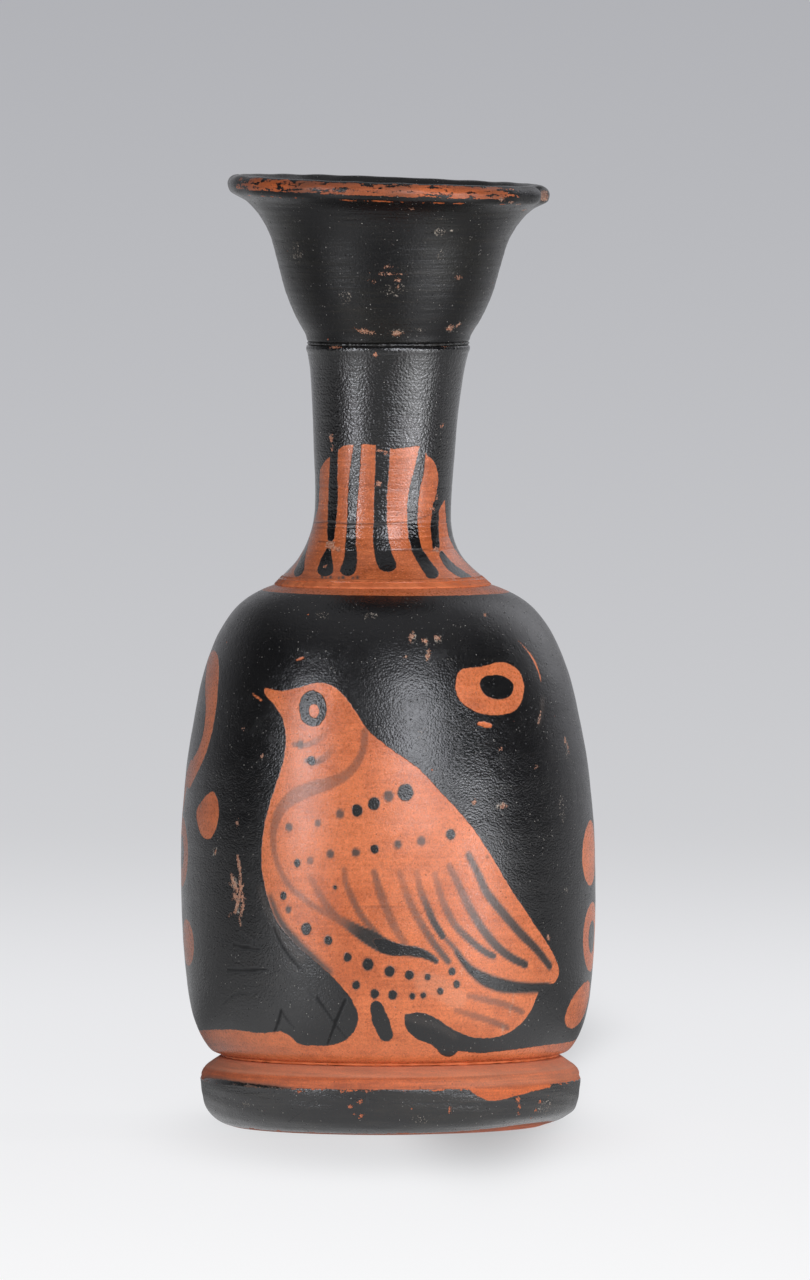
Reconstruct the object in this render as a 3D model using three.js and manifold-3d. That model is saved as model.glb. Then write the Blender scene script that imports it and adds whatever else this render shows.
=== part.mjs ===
// A squat lekythos: a small oil jar of five clay pieces luted together with slip.
// The foot, body, neck and mouth are thrown, so each is a closed profile turned about the vertical axis.
// The strap handle is pulled, and stands behind the neck. Millimetres, +Z up, the front faces -Y.

import * as THREE from 'three';
import { mergeVertices } from 'three/addons/utils/BufferGeometryUtils.js';
import loadManifold from 'manifold-3d';

// Foot: a ring with a rounded side, a flange edge and a sloping top
const FOOT_ROUND_HEIGHT = 6.2;
const FOOT_EDGE_HEIGHT = 1.9;
const FOOT_SLOPE_HEIGHT = 2.1;
const FOOT_RADIUS = 28;
const FOOT_REST_RADIUS = 24.9;
const FOOT_REST_WIDTH = 4.4;
const FOOT_SEAT_WIDTH = 9.4;
const FOOT_RECESS_STEP = 2.6;
const GROOVE_RADIUS = 25.4;

// Body: heel, belly, flank and shoulder
const BELLY_HEIGHT = 27.9;
const FLANK_HEIGHT = 31.5;
const SHOULDER_HEIGHT = 10.3;
const BELLY_RADIUS = 30.7;
const SHOULDER_RADIUS = 26;
const BODY_WALL = 3.4;
const BODY_FLOOR = 5;
const HEEL_SWELL = 4.7;
const HEEL_RISE = 2.2;
const BELLY_EASE_BELOW = 12.2;
const BELLY_EASE_ABOVE = 13;
const SHOULDER_TURN_DEG = 20;
const SHOULDER_EASE_BELOW = 8;
const SHOULDER_EASE_ABOVE = 5.5;
const SHOULDER_TOP_DEG = 17;
const SHOULDER_TOP_EASE = 6.4;

// Neck: a flare that sits on the shoulder, and a shaft that widens to the mouth
const NECK_FLARE_HEIGHT = 10.6;
const NECK_SHAFT_HEIGHT = 24;
const NECK_BASE_RADIUS = 15;
const NECK_WAIST_RADIUS = 10.05;
const NECK_TOP_RADIUS = 12.1;
const NECK_WALL = 3;
const NECK_SEAT_WIDTH = 6;
const NECK_FLARE_DEG = 44;
const NECK_FLARE_EASE = 4.6;
const NECK_WAIST_EASE_BELOW = 5.5;
const NECK_WAIST_EASE_ABOVE = 7;
const NECK_TOP_DEG = 15;
const NECK_TOP_EASE = 4.8;

// Mouth: a deep cup that flares out to a rolled lip
const CUP_HEIGHT = 16.6;
const CUP_FLARE_HEIGHT = 4.6;
const LIP_HEIGHT = 2.8;
const CUP_BASE_RADIUS = 11.9;
const CUP_RADIUS = 18.4;
const LIP_RADIUS = 23.7;
const LIP_ROLL = 0.9;
const LIP_TOP_WIDTH = 2.4;
const CUP_WALL = 2.8;
const MOUTH_SEAT_WIDTH = 4;
const CUP_BASE_DEG = 31;
const CUP_BASE_EASE = 8.4;
const CUP_TURN_DEG = 25;
const CUP_TURN_EASE_BELOW = 6.8;
const CUP_TURN_EASE_ABOVE = 2;
const LIP_UNDER_DEG = 54;
const LIP_UNDER_EASE = 1.9;

// Luting slip: a thin layer that stands proud of a joint, or lies back in it
const LUTE_THICKNESS = 0.5;
const FOOT_LUTE_SETBACK = 0.5;
const NECK_LUTE_BEAD = 0.2;
const MOUTH_LUTE_SETBACK = 0.3;
const SLIP_CLEARANCE = 0.3;

// Handle: a flattened strap, wider at both ends
const HANDLE_WIDTH = 11;
const HANDLE_THICKNESS = 4.6;
const HANDLE_END_FLARE = 0.22;
const HANDLE_TOP_DROP = 9;
const HANDLE_RISE = 3.4;
const HANDLE_REACH = 24.2;
const HANDLE_LANDING_RADIUS = 21.2;
const HANDLE_BEND = 11;
const HANDLE_LUTE_MARGIN = 1.2;
const HANDLE_ROOT = 2.5;

// The hand-made lean: sideways shift of the axis at each station, and the slope of the rim
const FOOT_SHIFT = 0.3;
const SHOULDER_SHIFT = -0.4;
const NECK_FLARE_SHIFT = -1.15;
const NECK_WAIST_SHIFT = -0.85;
const MOUTH_SHIFT = 0.05;
const RIM_TILT_DEG = 1.8;

// Facets: steps round a turned piece, along each profile curve, and along and round the strap
const TURN_STEPS = 48;
const HEEL_STEPS = 8;
const FLANK_STEPS = 6;
const SHOULDER_STEPS = 8;
const NECK_FLARE_STEPS = 6;
const NECK_SHAFT_STEPS = 5;
const CUP_STEPS = 6;
const CUP_FLARE_STEPS = 4;
const FOOT_ROUND_STEPS = 5;
const BORE_STEPS = 4;
const HANDLE_STEPS = 20;
const STRAP_ARC_STEPS = 9;

const GLOSS = { color: 0x2b2a2a, roughness: 0.35, metalness: 0 };
const SLIP = { color: 0xa85c3c, roughness: 0.8, metalness: 0 };

// Heights of the stacked pieces
const footHeight = FOOT_ROUND_HEIGHT + FOOT_EDGE_HEIGHT + FOOT_SLOPE_HEIGHT;
const bodyHeight = BELLY_HEIGHT + FLANK_HEIGHT + SHOULDER_HEIGHT;
const neckHeight = NECK_FLARE_HEIGHT + NECK_SHAFT_HEIGHT;
const mouthHeight = CUP_HEIGHT + CUP_FLARE_HEIGHT + LIP_HEIGHT;
const bodyBase = footHeight + LUTE_THICKNESS;
const bodyTop = bodyBase + bodyHeight;
const neckBase = bodyTop + LUTE_THICKNESS;
const neckTop = neckBase + neckHeight;
const mouthBase = neckTop + LUTE_THICKNESS;
const rimTop = mouthBase + mouthHeight;

// Radii that two pieces share at a seat
const footHole = GROOVE_RADIUS - FOOT_SEAT_WIDTH;
const neckBore = NECK_WAIST_RADIUS - NECK_WALL;
const shoulderOpening = NECK_BASE_RADIUS - NECK_SEAT_WIDTH;
const mouthBore = NECK_TOP_RADIUS - MOUTH_SEAT_WIDTH;

const point = (radius, height) => new THREE.Vector2(radius, height);
const degrees = THREE.MathUtils.degToRad;

// A point at a distance from another, along a direction that leans from the vertical towards larger radii
function leanFrom(start, leanDeg, distance) {
  const angle = degrees(leanDeg);
  return point(start.x + distance * Math.sin(angle), start.y + distance * Math.cos(angle));
}

// A cubic curve between two profile points, sampled without its first point
function curve(start, startHandle, endHandle, end, steps) {
  return new THREE.CubicBezierCurve(start, startHandle, endHandle, end).getPoints(steps).slice(1);
}

// The profile moved sideways by a distance, to the right of its direction when positive
function offset(profile, distance) {
  return profile.map((here, i) => {
    const before = profile[Math.max(i - 1, 0)];
    const after = profile[Math.min(i + 1, profile.length - 1)];
    const along = after.clone().sub(before).normalize();
    return point(Math.max(here.x + along.y * distance, 0), here.y - along.x * distance);
  });
}

// Radius of a rising profile at a height
function radiusAt(profile, height) {
  const i = profile.findIndex((p) => p.y >= height);
  const low = profile[Math.max(i - 1, 0)];
  const high = profile[Math.max(i, 0)];
  const share = high.y > low.y ? (height - low.y) / (high.y - low.y) : 0;
  return THREE.MathUtils.lerp(low.x, high.x, share);
}

// Height of the upper part of a profile at a radius
function heightAt(profile, radius) {
  const i = profile.findLastIndex((p) => p.x >= radius);
  const outer = profile[i];
  const inner = profile[Math.min(i + 1, profile.length - 1)];
  const share = outer.x > inner.x ? (outer.x - radius) / (outer.x - inner.x) : 0;
  return THREE.MathUtils.lerp(outer.y, inner.y, share);
}

// The lean as a smooth function of height
const leanStations = [
  [0, FOOT_SHIFT],
  [bodyBase + BELLY_HEIGHT, 0],
  [bodyTop - SHOULDER_HEIGHT, SHOULDER_SHIFT],
  [neckBase + NECK_FLARE_HEIGHT / 3, NECK_FLARE_SHIFT],
  [neckBase + NECK_FLARE_HEIGHT, NECK_WAIST_SHIFT],
  [mouthBase, MOUTH_SHIFT],
  [rimTop, MOUTH_SHIFT],
];
const lean = new THREE.CubicInterpolant(
  leanStations.map((station) => station[0]),
  leanStations.map((station) => station[1]),
  1,
);

// Shifts a piece sideways with the lean of the axis, and tilts what lies above the mouth's seat
function settle(geometry, base = 0) {
  const position = geometry.attributes.position;
  const slope = Math.tan(degrees(RIM_TILT_DEG));
  for (let i = 0; i < position.count; i += 1) {
    const height = base + position.getZ(i);
    const share = THREE.MathUtils.clamp((height - mouthBase) / mouthHeight, 0, 1);
    const drop = slope * share * position.getX(i);
    position.setX(i, position.getX(i) + lean.evaluate(height)[0]);
    position.setZ(i, position.getZ(i) - drop);
  }
  geometry.computeVertexNormals();
  return geometry;
}

// A closed profile turned about the vertical axis
function turn(profile, base = 0) {
  const geometry = new THREE.LatheGeometry(profile, TURN_STEPS);
  geometry.rotateX(Math.PI / 2);
  return settle(geometry, base);
}

// A flat ring with a rectangular section
function ring(inner, outer, thickness, base) {
  const section = [
    point(inner, 0),
    point(outer, 0),
    point(outer, thickness),
    point(inner, thickness),
    point(inner, 0),
  ];
  return turn(section, base);
}

const { Manifold, Mesh: ManifoldMesh } = await loadManifold().then((wasm) => {
  wasm.setup();
  return wasm;
});

// A solid for cutting and joining, from a closed geometry
function solidFrom(geometry) {
  const bare = geometry.clone();
  bare.deleteAttribute('normal');
  bare.deleteAttribute('uv');
  const merged = mergeVertices(bare, 1e-4);
  const index = merged.index.array;
  const corners = [];
  for (let i = 0; i < index.length; i += 3) {
    const [a, b, c] = index.slice(i, i + 3);
    if (a !== b && b !== c && c !== a) corners.push(a, b, c);
  }
  return new Manifold(new ManifoldMesh({
    numProp: 3,
    vertProperties: new Float32Array(merged.attributes.position.array),
    triVerts: new Uint32Array(corners),
  }));
}

// Back to a geometry
function geometryFrom(solid) {
  const mesh = solid.getMesh();
  const geometry = new THREE.BufferGeometry();
  geometry.setAttribute('position', new THREE.BufferAttribute(mesh.vertProperties, 3));
  geometry.setIndex(new THREE.BufferAttribute(mesh.triVerts, 1));
  geometry.computeVertexNormals();
  return geometry;
}

// Outer profile of the body, from the groove above the foot to the neck's seat
function bodyOutline() {
  const groove = point(GROOVE_RADIUS, 0);
  const belly = point(BELLY_RADIUS, BELLY_HEIGHT);
  const shoulder = point(SHOULDER_RADIUS, BELLY_HEIGHT + FLANK_HEIGHT);
  const top = point(NECK_BASE_RADIUS, bodyHeight);
  const heelHandle = point(GROOVE_RADIUS + HEEL_SWELL, HEEL_RISE);
  return [
    groove,
    ...curve(groove, heelHandle, leanFrom(belly, 180, BELLY_EASE_BELOW), belly, HEEL_STEPS),
    ...curve(
      belly,
      leanFrom(belly, 0, BELLY_EASE_ABOVE),
      leanFrom(shoulder, 180 - SHOULDER_TURN_DEG, SHOULDER_EASE_BELOW),
      shoulder,
      FLANK_STEPS,
    ),
    ...curve(
      shoulder,
      leanFrom(shoulder, -SHOULDER_TURN_DEG, SHOULDER_EASE_ABOVE),
      leanFrom(top, 90 + SHOULDER_TOP_DEG, SHOULDER_TOP_EASE),
      top,
      SHOULDER_STEPS,
    ),
  ];
}

// Outer profile of the neck, from its flared base to the ledge under the mouth
function neckOutline() {
  const base = point(NECK_BASE_RADIUS, 0);
  const waist = point(NECK_WAIST_RADIUS, NECK_FLARE_HEIGHT);
  const top = point(NECK_TOP_RADIUS, neckHeight);
  return [
    base,
    ...curve(
      base,
      leanFrom(base, -NECK_FLARE_DEG, NECK_FLARE_EASE),
      leanFrom(waist, 180, NECK_WAIST_EASE_BELOW),
      waist,
      NECK_FLARE_STEPS,
    ),
    ...curve(
      waist,
      leanFrom(waist, 0, NECK_WAIST_EASE_ABOVE),
      leanFrom(top, 180 + NECK_TOP_DEG, NECK_TOP_EASE),
      top,
      NECK_SHAFT_STEPS,
    ),
  ];
}

// Outer profile of the mouth, from its seat to the underside of the lip
function mouthOutline() {
  const base = point(CUP_BASE_RADIUS, 0);
  const turnOut = point(CUP_RADIUS, CUP_HEIGHT);
  const underLip = point(LIP_RADIUS - LIP_ROLL, CUP_HEIGHT + CUP_FLARE_HEIGHT);
  return [
    base,
    ...curve(
      base,
      leanFrom(base, CUP_BASE_DEG, CUP_BASE_EASE),
      leanFrom(turnOut, 180 + CUP_TURN_DEG, CUP_TURN_EASE_BELOW),
      turnOut,
      CUP_STEPS,
    ),
    ...curve(
      turnOut,
      leanFrom(turnOut, CUP_TURN_DEG, CUP_TURN_EASE_ABOVE),
      leanFrom(underLip, 180 + LIP_UNDER_DEG, LIP_UNDER_EASE),
      underLip,
      CUP_FLARE_STEPS,
    ),
  ];
}

function footGeometry() {
  const innerRest = point(FOOT_REST_RADIUS - FOOT_REST_WIDTH, 0);
  const outerRest = point(FOOT_REST_RADIUS, 0);
  const edge = point(FOOT_RADIUS, FOOT_ROUND_HEIGHT);
  const quarter = point(FOOT_RADIUS, FOOT_ROUND_HEIGHT / 3);
  const roundSide = new THREE.QuadraticBezierCurve(outerRest, quarter, edge).getPoints(FOOT_ROUND_STEPS);
  return turn([
    innerRest,
    ...roundSide,
    point(FOOT_RADIUS, FOOT_ROUND_HEIGHT + FOOT_EDGE_HEIGHT),
    point(GROOVE_RADIUS, footHeight),
    point(footHole, footHeight),
    point(footHole, FOOT_ROUND_HEIGHT),
    point(footHole + FOOT_RECESS_STEP, FOOT_RECESS_STEP),
    innerRest.clone(),
  ]);
}

function bodyGeometry(outline) {
  const inside = offset(outline, -BODY_WALL).reverse();
  const floor = inside.findIndex((p) => p.y <= BODY_FLOOR);
  const wall = inside.slice(1, floor).filter((p, i) => p.x > shoulderOpening && i % 2 === 0);
  const floorEdge = point(wall.at(-1).x - (wall.at(-1).y - BODY_FLOOR), BODY_FLOOR);
  return turn([
    point(0, 0),
    ...outline,
    point(shoulderOpening, bodyHeight),
    point(shoulderOpening, wall[0].y),
    ...wall,
    floorEdge,
    point(0, BODY_FLOOR),
  ], bodyBase);
}

function neckGeometry(outline) {
  const bore = [
    point(mouthBore, neckHeight),
    point(neckBore, NECK_FLARE_HEIGHT + NECK_SHAFT_HEIGHT / 2),
    ...new THREE.QuadraticBezierCurve(
      point(neckBore, NECK_FLARE_HEIGHT),
      point(neckBore, NECK_FLARE_HEIGHT / 3),
      point(shoulderOpening, 0),
    ).getPoints(BORE_STEPS),
  ];
  return turn([...outline, ...bore, outline[0].clone()], neckBase);
}

function mouthGeometry(outline) {
  const inside = offset(outline, -CUP_WALL).reverse();
  const lipMiddle = CUP_HEIGHT + CUP_FLARE_HEIGHT + LIP_HEIGHT / 2;
  const lip = [
    point(LIP_RADIUS, lipMiddle - LIP_ROLL / 2),
    point(LIP_RADIUS, lipMiddle + LIP_ROLL / 2),
    point(LIP_RADIUS - LIP_ROLL, mouthHeight),
    point(LIP_RADIUS - LIP_TOP_WIDTH, mouthHeight),
  ];
  return turn([...outline, ...lip, ...inside, point(mouthBore, 0), outline[0].clone()], mouthBase);
}

// The handle's centre line: out of the neck, over, and down to the shoulder
function handlePath(neck, body) {
  const top = neckTop - HANDLE_TOP_DROP;
  const neckFace = radiusAt(neck, top - neckBase);
  const landing = bodyBase + heightAt(body, HANDLE_LANDING_RADIUS);
  const at = (y, z) => new THREE.Vector3(0, y, z);
  const bend = at(HANDLE_REACH, top - HANDLE_BEND);
  const path = new THREE.CurvePath();
  path.add(new THREE.CubicBezierCurve3(
    at(neckFace - HANDLE_ROOT, top),
    at(neckFace + HANDLE_BEND / 2, top + HANDLE_RISE),
    at(HANDLE_REACH, top + HANDLE_RISE),
    bend,
  ));
  path.add(new THREE.CubicBezierCurve3(
    bend,
    at(HANDLE_REACH, bend.z - HANDLE_BEND),
    at(HANDLE_LANDING_RADIUS + HANDLE_ROOT, landing + HANDLE_BEND),
    at(HANDLE_LANDING_RADIUS, landing - HANDLE_ROOT),
  ));
  return path;
}

// The strap: an oval section carried along the path, widened towards both ends
function strap(path, margin) {
  const section = new THREE.Shape();
  section.absellipse(0, 0, HANDLE_WIDTH / 2 + margin, HANDLE_THICKNESS / 2 + margin, 0, 2 * Math.PI);
  const geometry = new THREE.ExtrudeGeometry(section, {
    steps: HANDLE_STEPS,
    curveSegments: STRAP_ARC_STEPS,
    extrudePath: path,
  });
  const ends = [path.getPoint(0).z, path.getPoint(1).z];
  const middle = (ends[0] + ends[1]) / 2;
  const half = (ends[0] - ends[1]) / 2;
  const position = geometry.attributes.position;
  for (let i = 0; i < position.count; i += 1) {
    const share = Math.min(Math.abs(position.getZ(i) - middle) / half, 1);
    position.setX(i, position.getX(i) * (1 + HANDLE_END_FLARE * share ** 3));
  }
  return solidFrom(settle(geometry));
}

// A filled solid that stands off an outline by a distance
function standOff(outline, distance, base) {
  const skin = offset(outline, distance);
  const section = [point(0, skin[0].y), ...skin, point(0, skin.at(-1).y)];
  const geometry = turn(section, base);
  geometry.translate(0, 0, base);
  return solidFrom(geometry);
}

const body = bodyOutline();
const neck = neckOutline();
const mouth = mouthOutline();
const route = handlePath(neck, body);

// The handle's ends stop short of the vessel, and a pad of slip fills each space
const seats = { neck: [neck, neckBase], shoulder: [body, bodyBase] };
const slipOuter = SLIP_CLEARANCE + LUTE_THICKNESS;
const handleGap = slipOuter + SLIP_CLEARANCE;
const wideStrap = strap(route, HANDLE_LUTE_MARGIN);
const pads = {};
let handle = strap(route, 0);
for (const [end, [outline, base]] of Object.entries(seats)) {
  const pad = wideStrap
    .intersect(standOff(outline, slipOuter, base))
    .subtract(standOff(outline, SLIP_CLEARANCE, base));
  pads[end] = geometryFrom(pad);
  handle = handle.subtract(standOff(outline, handleGap, base));
}

const vessel = new THREE.Group();

function place(name, geometry, look, height = 0) {
  const mesh = new THREE.Mesh(geometry, new THREE.MeshStandardMaterial(look));
  mesh.name = name;
  mesh.position.z = height;
  vessel.add(mesh);
}

place('foot', footGeometry(), GLOSS);
place(
  'foot_lute',
  ring(footHole, GROOVE_RADIUS - FOOT_LUTE_SETBACK, LUTE_THICKNESS, footHeight),
  SLIP,
  footHeight,
);
place('body', bodyGeometry(body), GLOSS, bodyBase);
place(
  'neck_lute',
  ring(shoulderOpening, NECK_BASE_RADIUS + NECK_LUTE_BEAD, LUTE_THICKNESS, bodyTop),
  SLIP,
  bodyTop,
);
place('neck', neckGeometry(neck), GLOSS, neckBase);
place(
  'mouth_lute',
  ring(mouthBore, CUP_BASE_RADIUS - MOUTH_LUTE_SETBACK, LUTE_THICKNESS, neckTop),
  SLIP,
  neckTop,
);
place('mouth', mouthGeometry(mouth), GLOSS, mouthBase);
place('handle', geometryFrom(handle), GLOSS);
place('handle_neck_lute', pads.neck, SLIP);
place('handle_shoulder_lute', pads.shoulder, SLIP);

export default vessel;
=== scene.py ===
import math

import bpy
import numpy as np
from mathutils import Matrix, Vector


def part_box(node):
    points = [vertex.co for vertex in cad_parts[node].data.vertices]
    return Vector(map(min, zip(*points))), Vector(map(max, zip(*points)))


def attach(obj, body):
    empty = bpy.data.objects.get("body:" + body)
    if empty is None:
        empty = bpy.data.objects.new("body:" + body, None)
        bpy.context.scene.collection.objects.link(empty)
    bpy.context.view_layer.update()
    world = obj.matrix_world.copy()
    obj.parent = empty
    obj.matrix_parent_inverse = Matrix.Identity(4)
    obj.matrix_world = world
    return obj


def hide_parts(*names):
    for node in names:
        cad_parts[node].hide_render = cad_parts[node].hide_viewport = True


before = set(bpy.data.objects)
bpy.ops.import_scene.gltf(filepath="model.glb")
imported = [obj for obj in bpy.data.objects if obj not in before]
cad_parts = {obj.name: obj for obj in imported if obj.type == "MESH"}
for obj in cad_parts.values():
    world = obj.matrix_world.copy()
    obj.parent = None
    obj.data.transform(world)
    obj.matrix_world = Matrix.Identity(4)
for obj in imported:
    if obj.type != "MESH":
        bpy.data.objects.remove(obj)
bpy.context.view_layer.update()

mm = 0.001
print("frame loaded:", len(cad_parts), "pieces")

# the photograph's view, in mm: the camera stands far off, a little above the rim
view = dict(
    distance=3000.0,
    height=200.0,
    across=2.5,            # the vessel stands left of the middle
    aimHeight=71.8,        # height on the vessel at the middle of the picture
    pictureHeight=189.35,
    imageWidth=810,
    imageHeight=1280,
    sensor=36.0,
)
viewDrop = view["height"] - view["aimHeight"]
viewPitch = math.atan2(viewDrop, view["distance"])
lens = view["sensor"] * math.hypot(viewDrop, view["distance"]) / view["pictureHeight"]
focalPixels = view["imageHeight"] * lens / view["sensor"]
pixelsPerMm = view["imageHeight"] / view["pictureHeight"]


def makeCamera():
    data = bpy.data.cameras.new("camera")
    data.sensor_width = view["sensor"]
    data.lens = lens
    data.clip_start = 0.1
    data.clip_end = 100.0
    camera = bpy.data.objects.new("camera", data)
    camera.location = (view["across"] * mm, -view["distance"] * mm, view["height"] * mm)
    camera.rotation_euler = (math.pi / 2 - viewPitch, 0, 0)
    bpy.context.collection.objects.link(camera)
    bpy.context.scene.camera = camera


makeCamera()
bpy.context.scene.view_settings.view_transform = "Standard"
print("camera: lens", round(lens, 1), "mm, pitch", round(math.degrees(viewPitch), 2), "degrees")

# heights of the joints between the thrown pieces, in mm, from the frame
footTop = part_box("foot")[1][2] / mm
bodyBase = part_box("body")[0][2] / mm
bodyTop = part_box("body")[1][2] / mm
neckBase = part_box("neck")[0][2] / mm
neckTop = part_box("neck")[1][2] / mm
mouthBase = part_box("mouth")[0][2] / mm

# the axis wanders sideways, as on any hand-thrown pot, and the rim is not quite level
hand = dict(
    heights=(0.0, 38.6, 70.1, 77.5, 84.4, 91.5, 105.0, 116.0, 121.0, 130.0, 135.0, 140.0),
    shifts=(0.42, 0.0, -0.40, -0.60, -1.08, -0.76, -0.42, 0.02, 0.11, 0.17, 0.22, 0.05),
    rimTilt=2.05,          # degrees, right side low
    rimHeight=140.0,
)


# cubic Hermite curve through values at the knots, its slopes taken between the neighbours
def hermite(at, knots, values):
    knots = np.asarray(knots, float)
    values = np.asarray(values, float)
    slopes = np.gradient(values, knots)
    index = np.clip(np.searchsorted(knots, at) - 1, 0, len(knots) - 2)
    span = knots[index + 1] - knots[index]
    t = np.clip((at - knots[index]) / span, 0, 1)
    start = (2 * t**3 - 3 * t**2 + 1) * values[index] + (t**3 - 2 * t**2 + t) * span * slopes[index]
    end = (3 * t**2 - 2 * t**3) * values[index + 1] + (t**3 - t**2) * span * slopes[index + 1]
    return start + end


def lean(z):
    return hermite(np.clip(z, 0, hand["rimHeight"]), hand["heights"], hand["shifts"])


def smoothStep(value, low, high):
    t = np.clip((value - low) / (high - low), 0, 1)
    return t * t * (3 - 2 * t)


# a soft ramp up and a soft ramp down, each given by its two ends
def between(value, edges):
    return smoothStep(value, edges[0], edges[1]) * (1 - smoothStep(value, edges[2], edges[3]))


# a bell curve, 1 in the middle
def hump(offset, width):
    return np.exp(-((offset / width) ** 2))


# (radius, height) points set on a base height
def raised(points, base):
    return [(r, base + z) for r, z in points]


# points at an even spacing along a bent line
def evenly(points, spacing):
    steps = np.hypot(*np.diff(points, axis=0).T)
    travelled = np.concatenate([[0], np.cumsum(steps)])
    count = max(2, int(round(travelled[-1] / spacing)) + 1)
    at = np.linspace(0, travelled[-1], count)
    return np.column_stack([np.interp(at, travelled, points[:, axis]) for axis in (0, 1)])


# smooth line through points: Hermite curves over the square root of the chord lengths
def smoothLine(points, spacing):
    points = np.asarray(points, float)
    if len(points) < 3:
        return evenly(points, spacing)
    chords = np.sqrt(np.hypot(*np.diff(points, axis=0).T))
    knots = np.concatenate([[0], np.cumsum(chords)])
    at = np.linspace(0, knots[-1], 40 * len(points))
    curve = np.column_stack([hermite(at, knots, points[:, axis]) for axis in (0, 1)])
    return evenly(curve, spacing)


# smooth runs joined end to end, with a corner at each meeting
def cornered(runs, spacing):
    lines = [smoothLine(run, spacing) for run in runs]
    return np.vstack([lines[0]] + [line[1:] for line in lines[1:]])


# smooth closed outline through points, with no corner
def smoothRing(points, spacing):
    points = list(points)
    wrapped = smoothLine(points[-3:] + points + points[:4], spacing / 4)
    first = np.argmin(np.hypot(*(wrapped[: len(wrapped) // 2] - points[0]).T))
    last = len(wrapped) // 2 + np.argmin(np.hypot(*(wrapped[len(wrapped) // 2 :] - points[0]).T))
    return evenly(wrapped[first : last + 1], spacing)


# distance of each point from a bent line, and how far along the line, 0 to 1, it is nearest
def lineDistance(points, line):
    best = np.full(len(points), 1e9)
    along = np.zeros(len(points))
    steps = np.diff(line, axis=0)
    lengths = np.maximum(np.hypot(*steps.T), 1e-9)
    reached = np.concatenate([[0], np.cumsum(lengths)])
    for start, step, length, before in zip(line[:-1], steps, lengths, reached):
        offset = points - start
        share = np.clip(offset @ step / length**2, 0, 1)
        distance = np.hypot(*(offset - share[:, None] * step).T)
        nearer = distance < best
        best = np.where(nearer, distance, best)
        along = np.where(nearer, (before + share * length) / reached[-1], along)
    return best, along


# whether each point lies inside a closed outline: the edges crossed on its right are counted
def insideOutline(points, outline):
    crossings = np.zeros(len(points), int)
    for (x0, y0), (x1, y1) in zip(outline, np.roll(outline, -1, axis=0)):
        spans = (y0 > points[:, 1]) != (y1 > points[:, 1])
        if y0 != y1:
            crossings += spans & (points[:, 0] < x0 + (points[:, 1] - y0) * (x1 - x0) / (y1 - y0))
    return crossings % 2 == 1


paintReach = 3.0           # mm, farthest that a painted edge is felt


# the outer wall of a turned piece, unrolled: across is angle times radius, along is length up the profile
class Wall:
    def __init__(self, outer, angles):
        self.radii = outer[:, 0]
        self.heights = outer[:, 1]
        self.lengths = np.concatenate([[0], np.cumsum(np.hypot(*np.diff(outer, axis=0).T))])
        self.angles = angles
        self.order = np.argsort(self.heights)

    def radiusAt(self, z):
        return np.interp(z, self.heights[self.order], self.radii[self.order])

    def lengthAt(self, z):
        return np.interp(z, self.heights[self.order], self.lengths[self.order])

    # the vertices of the wall on the unrolled plane, with the given angle in the middle
    def plane(self, middle=0.0):
        turned = (self.angles - middle + math.pi) % (2 * math.pi) - math.pi
        across = self.radii[:, None] * turned[None, :]
        along = np.broadcast_to(self.lengths[:, None], across.shape)
        return np.column_stack([across.ravel(), along.ravel()])

    # unrolled places of (angle in degrees, height) pairs
    def fromAngles(self, pairs):
        pairs = np.asarray(pairs, float)
        across = np.radians(pairs[:, 0]) * self.radiusAt(pairs[:, 1])
        return np.column_stack([across, self.lengthAt(pairs[:, 1])])

    # unrolled places of photograph pixels: each sight line is followed to the front of the wall, a little
    # nearer at every turn
    def fromPixels(self, pixels):
        pixels = np.asarray(pixels, float)
        right = (pixels[:, 0] - view["imageWidth"] / 2) / focalPixels
        up = (view["imageHeight"] / 2 - pixels[:, 1]) / focalPixels
        forward = math.cos(viewPitch) + up * math.sin(viewPitch)
        rise = up * math.cos(viewPitch) - math.sin(viewPitch)
        depth = np.zeros(len(pixels))
        for _ in range(12):
            travel = (view["distance"] + depth) / forward
            x = view["across"] + right * travel
            z = view["height"] + rise * travel
            side = np.clip((x - lean(z)) / self.radiusAt(z), -0.999, 0.999)
            depth = -self.radiusAt(z) * np.sqrt(1 - side**2)
        return np.column_stack([np.arcsin(side) * self.radiusAt(z), self.lengthAt(z)])


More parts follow.
